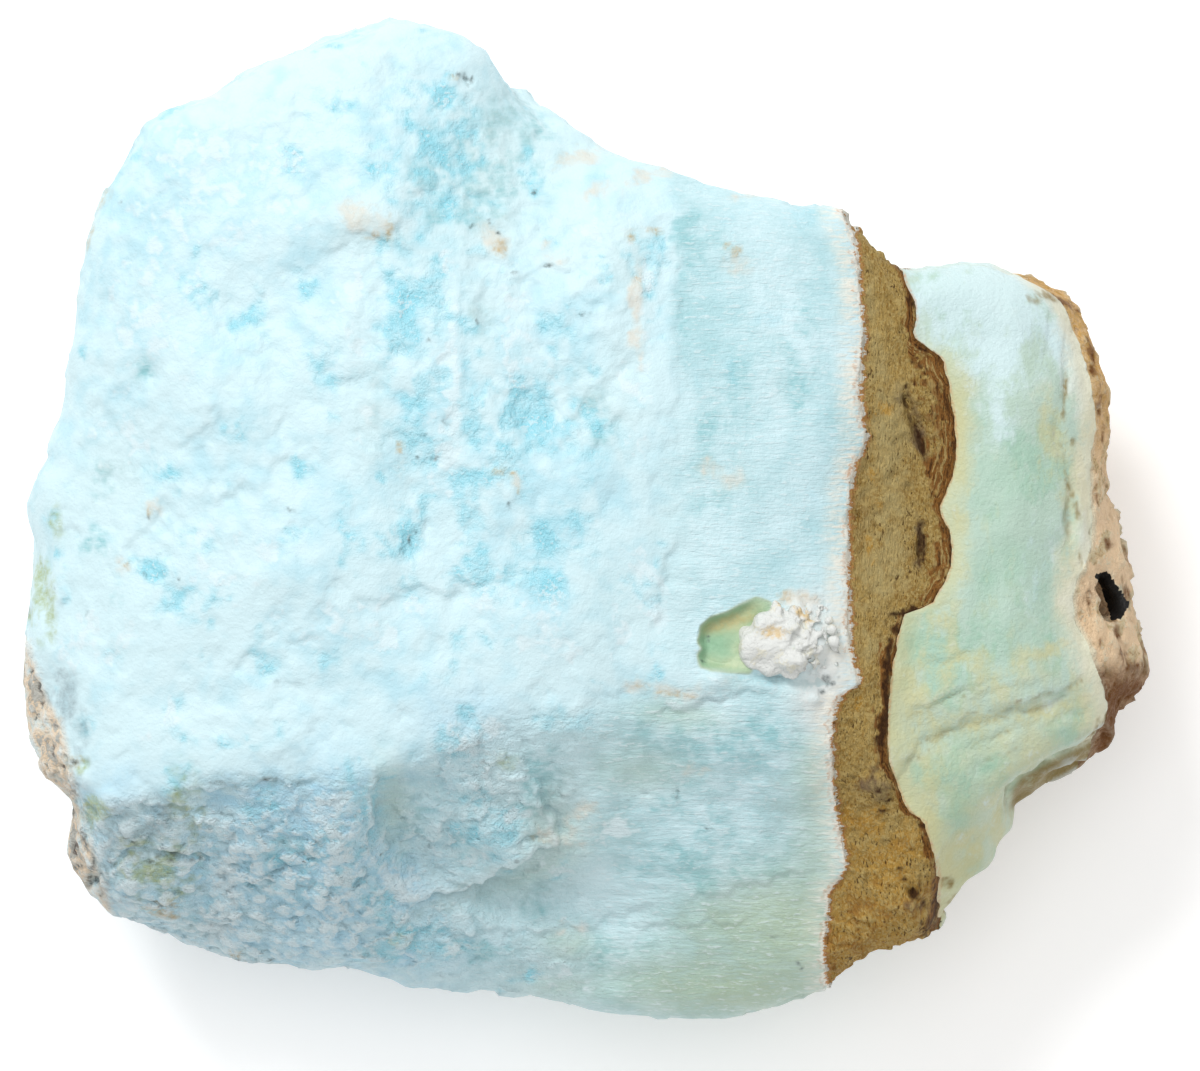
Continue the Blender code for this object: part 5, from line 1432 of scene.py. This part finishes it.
def nodule_surface(paint):
    """Colour, roughness and normal of the white nodule."""
    grit = paint.speckle(0.4, GRIT_SHIFT)
    puff = paint.speckle(1.6, 4.0)
    cavity = paint.attribute("cavity")
    colour = paint.mix((puff + grit * 0.5).step(0.02, 0.2) * 0.6, "nodule", "cream_light")
    colour = paint.mix((paint.attribute("ochre") + puff + grit).step(0.3, 0.9) * 0.85, colour, "peach")
    # Painted shade: the nodule's hollows are greyed by their depth
    colour = paint.mix((cavity * 2.0 + grit).step(0.15, 1.0) * 0.7, colour, "shade")
    rough = 0.6 + 0.2 * grit
    normal = paint.bump(grit * 1.4, 0.16)
    return colour, rough, normal


class CALCITE_OT_skin(bpy.types.Operator):
    """Lay a fine skin over the stone's solid and work its lumps, grains, fibres and flakes into it"""

    bl_idname = "calcite.skin"
    bl_label = "Stone Skin"

    def execute(self, context):
        sizes = context.scene.calcite_sizes
        shaping = bmesh.new()
        shaping.from_mesh(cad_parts[SOLID].data)
        bmesh.ops.remove_doubles(shaping, verts=shaping.verts, dist=1e-6)
        bmesh.ops.recalc_face_normals(shaping, faces=shaping.faces)
        mesh = bpy.data.meshes.new(SKIN)
        shaping.to_mesh(mesh)
        shaping.free()
        skin = link(SKIN, mesh)
        modifier(skin, "REMESH", mode="VOXEL", voxel_size=sizes.grid)
        modifier(skin, "SMOOTH", factor=0.5, iterations=SKIN_ROUNDS)
        apply_modifiers(skin)
        even_out(skin)
        shaped = shape_vug(read(skin.data), read(skin.data, "normal"))
        skin.data.vertices.foreach_set("co", shaped.astype(np.float32).ravel())
        skin.data.update()
        points = read(skin.data)
        normals = read(skin.data, "normal")
        moved = points + normals * surface_height(points, normals, sizes)[:, None]
        skin.data.vertices.foreach_set("co", inside_box(moved).astype(np.float32).ravel())
        skin.data.update()
        hollow = skin.data.attributes.new("cavity", "FLOAT", "POINT")
        hollow.data.foreach_set("value", hollowness(skin.data).astype(np.float32))
        return {"FINISHED"}


def even_out(skin):
    """Smooth the broad face's steps, and round its lower crest."""
    points = read(skin.data)
    normals = read(skin.data, "normal")
    zone = zones(points, normals)
    face = zone["in_blue"] * (1.0 - zone["past_crest"]) * smooth_step(normals[:, 2] - 0.8, 0.2)
    crest = zone["in_blue"] * (np.abs(zone["crest"]) < CREST_REACH) * (zone["u"] < CREST_END)
    crest = crest * (normals[:, 2] > 0.3)
    for name, share, rounds in (("face", face, FACE_ROUNDS), ("crest", crest, CREST_ROUNDS)):
        group = skin.vertex_groups.new(name=name)
        for index in np.flatnonzero(share > 0.5).tolist():
            group.add([index], 1.0, "REPLACE")
        modifier(skin, "SMOOTH", factor=0.5, iterations=rounds, vertex_group=name)
    apply_modifiers(skin)
    skin.vertex_groups.clear()


def thin_under(piece, share):
    """Thin a piece's sides and underside, and the whole of it if it has too many triangles."""
    normals = read(piece.data, "normal")
    low = piece.vertex_groups.new(name="under")
    for index in np.flatnonzero(normals[:, 2] < UNDER_FACING).tolist():
        low.add([index], 1.0, "REPLACE")
    faces = piece.data.polygons
    triangles = sum(len(face.vertices) - 2 for face in faces)
    hidden = len([face for face in faces if face.normal.z < UNDER_FACING]) * triangles / len(faces)
    kept = min(triangles - hidden * (1.0 - share), MOST_TRIANGLES)
    modifier(piece, "DECIMATE", ratio=kept / triangles, vertex_group="under", use_collapse_triangulate=True)
    apply_modifiers(piece)
    piece.vertex_groups.clear()
    boxed = np.clip(read(piece.data), *(np.array(corner) for corner in CAD_BOX))
    piece.data.vertices.foreach_set("co", boxed.astype(np.float32).ravel())
    piece.data.update()


def build_layer(name, cuts, surface, **constants):
    """Cut a layer from the skin and finish it."""
    piece = cut_layer(name, cuts)
    thin_under(piece, bpy.context.scene.calcite_sizes.under_share)
    paint = Paint(name, bpy.context.scene.calcite_colours)
    paint.finish(piece, name, *surface(paint), **constants)
    dress(piece, paint.material)


class CALCITE_OT_blue(bpy.types.Operator):
    """Cut the blue calcite from the skin and colour it"""

    bl_idname = "calcite.blue"
    bl_label = "Blue Calcite"

    def execute(self, context):
        build_layer("blue_calcite", {"past_band_left": "DIFFERENCE"}, blue_surface)
        return {"FINISHED"}


class CALCITE_OT_band(bpy.types.Operator):
    """Cut the brown band from the skin and colour it"""

    bl_idname = "calcite.band"
    bl_label = "Brown Band"

    def execute(self, context):
        cuts = {"past_band_left": "INTERSECT", "past_band_right": "DIFFERENCE"}
        build_layer("brown_band", cuts, band_surface, Specular_IOR_Level=0.2)
        return {"FINISHED"}


class CALCITE_OT_green(bpy.types.Operator):
    """Cut the green calcite from the skin and colour it"""

    bl_idname = "calcite.green"
    bl_label = "Green Calcite"

    def execute(self, context):
        cuts = {"past_band_right": "INTERSECT", "past_crust_edge": "DIFFERENCE"}
        build_layer("green_calcite", cuts, green_surface, Specular_IOR_Level=0.35)
        return {"FINISHED"}


class CALCITE_OT_crust(bpy.types.Operator):
    """Cut the tan crust from the skin and colour it"""

    bl_idname = "calcite.crust"
    bl_label = "Tan Crust"

    def execute(self, context):
        cuts = {"past_band_right": "INTERSECT", "past_crust_edge": "INTERSECT"}
        build_layer("tan_crust", cuts, crust_surface, Specular_IOR_Level=0.2)
        return {"FINISHED"}


class CALCITE_OT_nodule(bpy.types.Operator):
    """Heap up the white nodule beside the vug"""

    bl_idname = "calcite.nodule"
    bl_label = "White Nodule"

    def execute(self, context):
        skin = bpy.data.objects[SKIN].data
        faces = [face.vertices for face in skin.polygons]
        tree = BVHTree.FromPolygons([corner.co for corner in skin.vertices], faces)
        chance = np.random.RandomState(context.scene.calcite_sizes.seed)
        middle_u, middle_v, half_u, half_v = NODULE
        lumps = list(NODULE_LUMPS)
        for _index in range(NODULE_CRUMBS):
            angle = chance.uniform(0.0, 2.0 * math.pi)
            out = chance.uniform(0.0, 1.0) ** 0.6
            u = middle_u + CRUMBS_RIGHT + half_u * 0.8 * out * math.cos(angle)
            v = middle_v + half_v * out * math.sin(angle)
            size = chance.uniform(*CRUMB_RADII)
            lumps.append((u, v, size, 0.9 * (1.0 - out ** 2) * (u > LIFTED_FROM) - 0.25))
        shaping = bmesh.new()
        for u, v, size, lift in lumps:
            ground = tree.ray_cast(Vector(place(u, v, OVER_STONE)), Vector((0, 0, -1)))[0]
            made = bmesh.ops.create_icosphere(shaping, subdivisions=2, radius=size * MM)
            turn = Euler(chance.uniform(0.0, 3.0, 3)).to_matrix().to_4x4()
            squash = Matrix.Diagonal((1.0, chance.uniform(0.75, 1.0), chance.uniform(0.65, 0.85), 1.0))
            matrix = Matrix.Translation((ground.x, ground.y, ground.z + lift * MM)) @ turn @ squash
            bmesh.ops.transform(shaping, matrix=matrix, verts=made["verts"])
        mesh = bpy.data.meshes.new("white_nodule")
        shaping.to_mesh(mesh)
        shaping.free()
        nodule = link("white_nodule", mesh)
        modifier(nodule, "REMESH", mode="VOXEL", voxel_size=NODULE_GRID * MM)
        modifier(nodule, "SMOOTH", factor=0.5, iterations=NODULE_ROUNDS)
        apply_modifiers(nodule)
        points = read(nodule.data)
        normals = read(nodule.data, "normal")
        u, v, _h = own_coordinates(points)
        crumbly = smooth_step(u - CRUMBLY_FROM + 0.4 * (middle_v - v), 24.0)
        grains, _reach = facets(points, 0.0011)
        raised = grains * (0.08 + 0.5 * crumbly) + ripples(points, 0.0016, 3) * (0.16 + 0.3 * crumbly)
        dish_u, dish_v, dish_length, dish_width, dish_depth = NODULE_DISH
        raised -= dish_depth * np.exp(-(((u - dish_u) / dish_length) ** 2) - ((v - dish_v) / dish_width) ** 2)
        moved = points + normals * raised[:, None] * MM
        moved[:, 2] = np.minimum(moved[:, 2], CAD_BOX[1][2])
        nodule.data.vertices.foreach_set("co", moved.astype(np.float32).ravel())
        nodule.data.update()
        hollow = nodule.data.attributes.new("cavity", "FLOAT", "POINT")
        hollow.data.foreach_set("value", hollowness(nodule.data, 20).astype(np.float32))
        u, v, _h = own_coordinates(moved)
        ochre = nodule.data.attributes.new("ochre", "FLOAT", "POINT")
        ochre.data.foreach_set("value", marks(NODULE_OCHRE, u, v, 1.0).astype(np.float32))
        nodule.data.shade_smooth()
        paint = Paint("white_nodule", context.scene.calcite_colours)
        paint.finish(nodule, "white_nodule", *nodule_surface(paint))
        return {"FINISHED"}


def area_light(name, direction, distance, size, share):
    """A square light that gives a level face this share of light."""
    direction = Vector(direction).normalized()
    lamp = bpy.data.lights.new(name, "AREA")
    lamp.size = size
    lamp.energy = share * (math.pi * distance) ** 2 / direction.z
    thing = bpy.data.objects.new(name, lamp)
    thing.location = direction * distance
    thing.rotation_euler = direction.to_track_quat("Z", "Y").to_euler()
    bpy.context.scene.collection.objects.link(thing)


class CALCITE_OT_stage(bpy.types.Operator):
    """Lay the floor and set the lights and the camera"""

    bl_idname = "calcite.stage"
    bl_label = "Stage"

    def execute(self, context):
        scene = context.scene
        stage = scene.calcite_stage
        shaping = bmesh.new()
        bmesh.ops.create_grid(shaping, x_segments=1, y_segments=1, size=FLOOR_SIZE)
        bmesh.ops.translate(shaping, verts=shaping.verts, vec=(0.0, 0.0, -FLOOR_GAP))
        mesh = bpy.data.meshes.new("floor")
        shaping.to_mesh(mesh)
        shaping.free()
        floor = link("floor", mesh)
        finish = bpy.data.materials.new("floor")
        finish.use_nodes = True
        shader = finish.node_tree.nodes["Principled BSDF"]
        shader.inputs["Base Color"].default_value = (*stage.floor, 1.0)
        shader.inputs["Roughness"].default_value = 0.9
        shader.inputs["Specular IOR Level"].default_value = 0.0
        shader.inputs["Emission Color"].default_value = (1.0, 1.0, 1.0, 1.0)
        shader.inputs["Emission Strength"].default_value = stage.glow
        floor.data.materials.append(finish)

        world = bpy.data.worlds.new("soft sky")
        world.use_nodes = True
        world.node_tree.nodes["Background"].inputs["Color"].default_value = (1.0, 1.0, 1.0, 1.0)
        world.node_tree.nodes["Background"].inputs["Strength"].default_value = stage.sky
        scene.world = world
        area_light("overhead", (0.05, 0.1, 1.0), distance=1.4, size=0.9, share=stage.over)
        area_light("key", (-0.42, 0.78, 1.0), distance=1.2, size=0.4, share=stage.key)

        camera = bpy.data.cameras.new("camera")
        camera.lens = LENS
        camera.sensor_width = SENSOR
        camera.clip_end = 10.0
        shown = SHOWN_WIDTH * UNIT
        away = camera.lens / camera.sensor_width * shown
        eye = bpy.data.objects.new("camera", camera)
        eye.location = Vector(place(*SHOWN_MIDDLE, SHOWN_LEVEL)) + Vector((0.0, 0.0, away))
        scene.collection.objects.link(eye)
        scene.camera = eye
        scene.view_settings.view_transform = "Standard"
        return {"FINISHED"}


class CALCITE_PT_panel(bpy.types.Panel):
    """The pieces of the stone, in the order in which they're made"""

    bl_label = "Banded Blue Calcite"
    bl_idname = "CALCITE_PT_panel"
    bl_space_type = "VIEW_3D"
    bl_region_type = "UI"
    bl_category = "Calcite"

    def draw(self, context):
        for operator in OPERATORS:
            self.layout.operator(operator.bl_idname)
        for group in ("calcite_sizes", "calcite_colours", "calcite_stage"):
            box = self.layout.box()
            for name in getattr(context.scene, group).__annotations__:
                box.prop(getattr(context.scene, group), name)


OPERATORS = (
    CALCITE_OT_skin, CALCITE_OT_blue, CALCITE_OT_band, CALCITE_OT_green, CALCITE_OT_crust, CALCITE_OT_nodule,
    CALCITE_OT_stage,
)
GROUPS = (CalciteSizes, CalciteColours, CalciteStage)


def register():
    """Register the groups, the operators and the panel."""
    for item in (*GROUPS, *OPERATORS, CALCITE_PT_panel):
        bpy.utils.register_class(item)
    bpy.types.Scene.calcite_sizes = PointerProperty(type=CalciteSizes)
    bpy.types.Scene.calcite_colours = PointerProperty(type=CalciteColours)
    bpy.types.Scene.calcite_stage = PointerProperty(type=CalciteStage)


def unregister():
    """Take everything back out."""
    del bpy.types.Scene.calcite_stage
    del bpy.types.Scene.calcite_colours
    del bpy.types.Scene.calcite_sizes
    for item in reversed((*GROUPS, *OPERATORS, CALCITE_PT_panel)):
        bpy.utils.unregister_class(item)


def main():
    """Build the stone piece by piece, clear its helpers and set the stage."""
    register()
    bpy.ops.calcite.skin()
    bpy.ops.calcite.blue()
    bpy.ops.calcite.band()
    bpy.ops.calcite.green()
    bpy.ops.calcite.crust()
    bpy.ops.calcite.nodule()
    for name in (SKIN, *CONTACTS):
        bpy.data.objects.remove(bpy.data.objects[name])
    bpy.ops.calcite.stage()


if __name__ == "__main__":
    main()
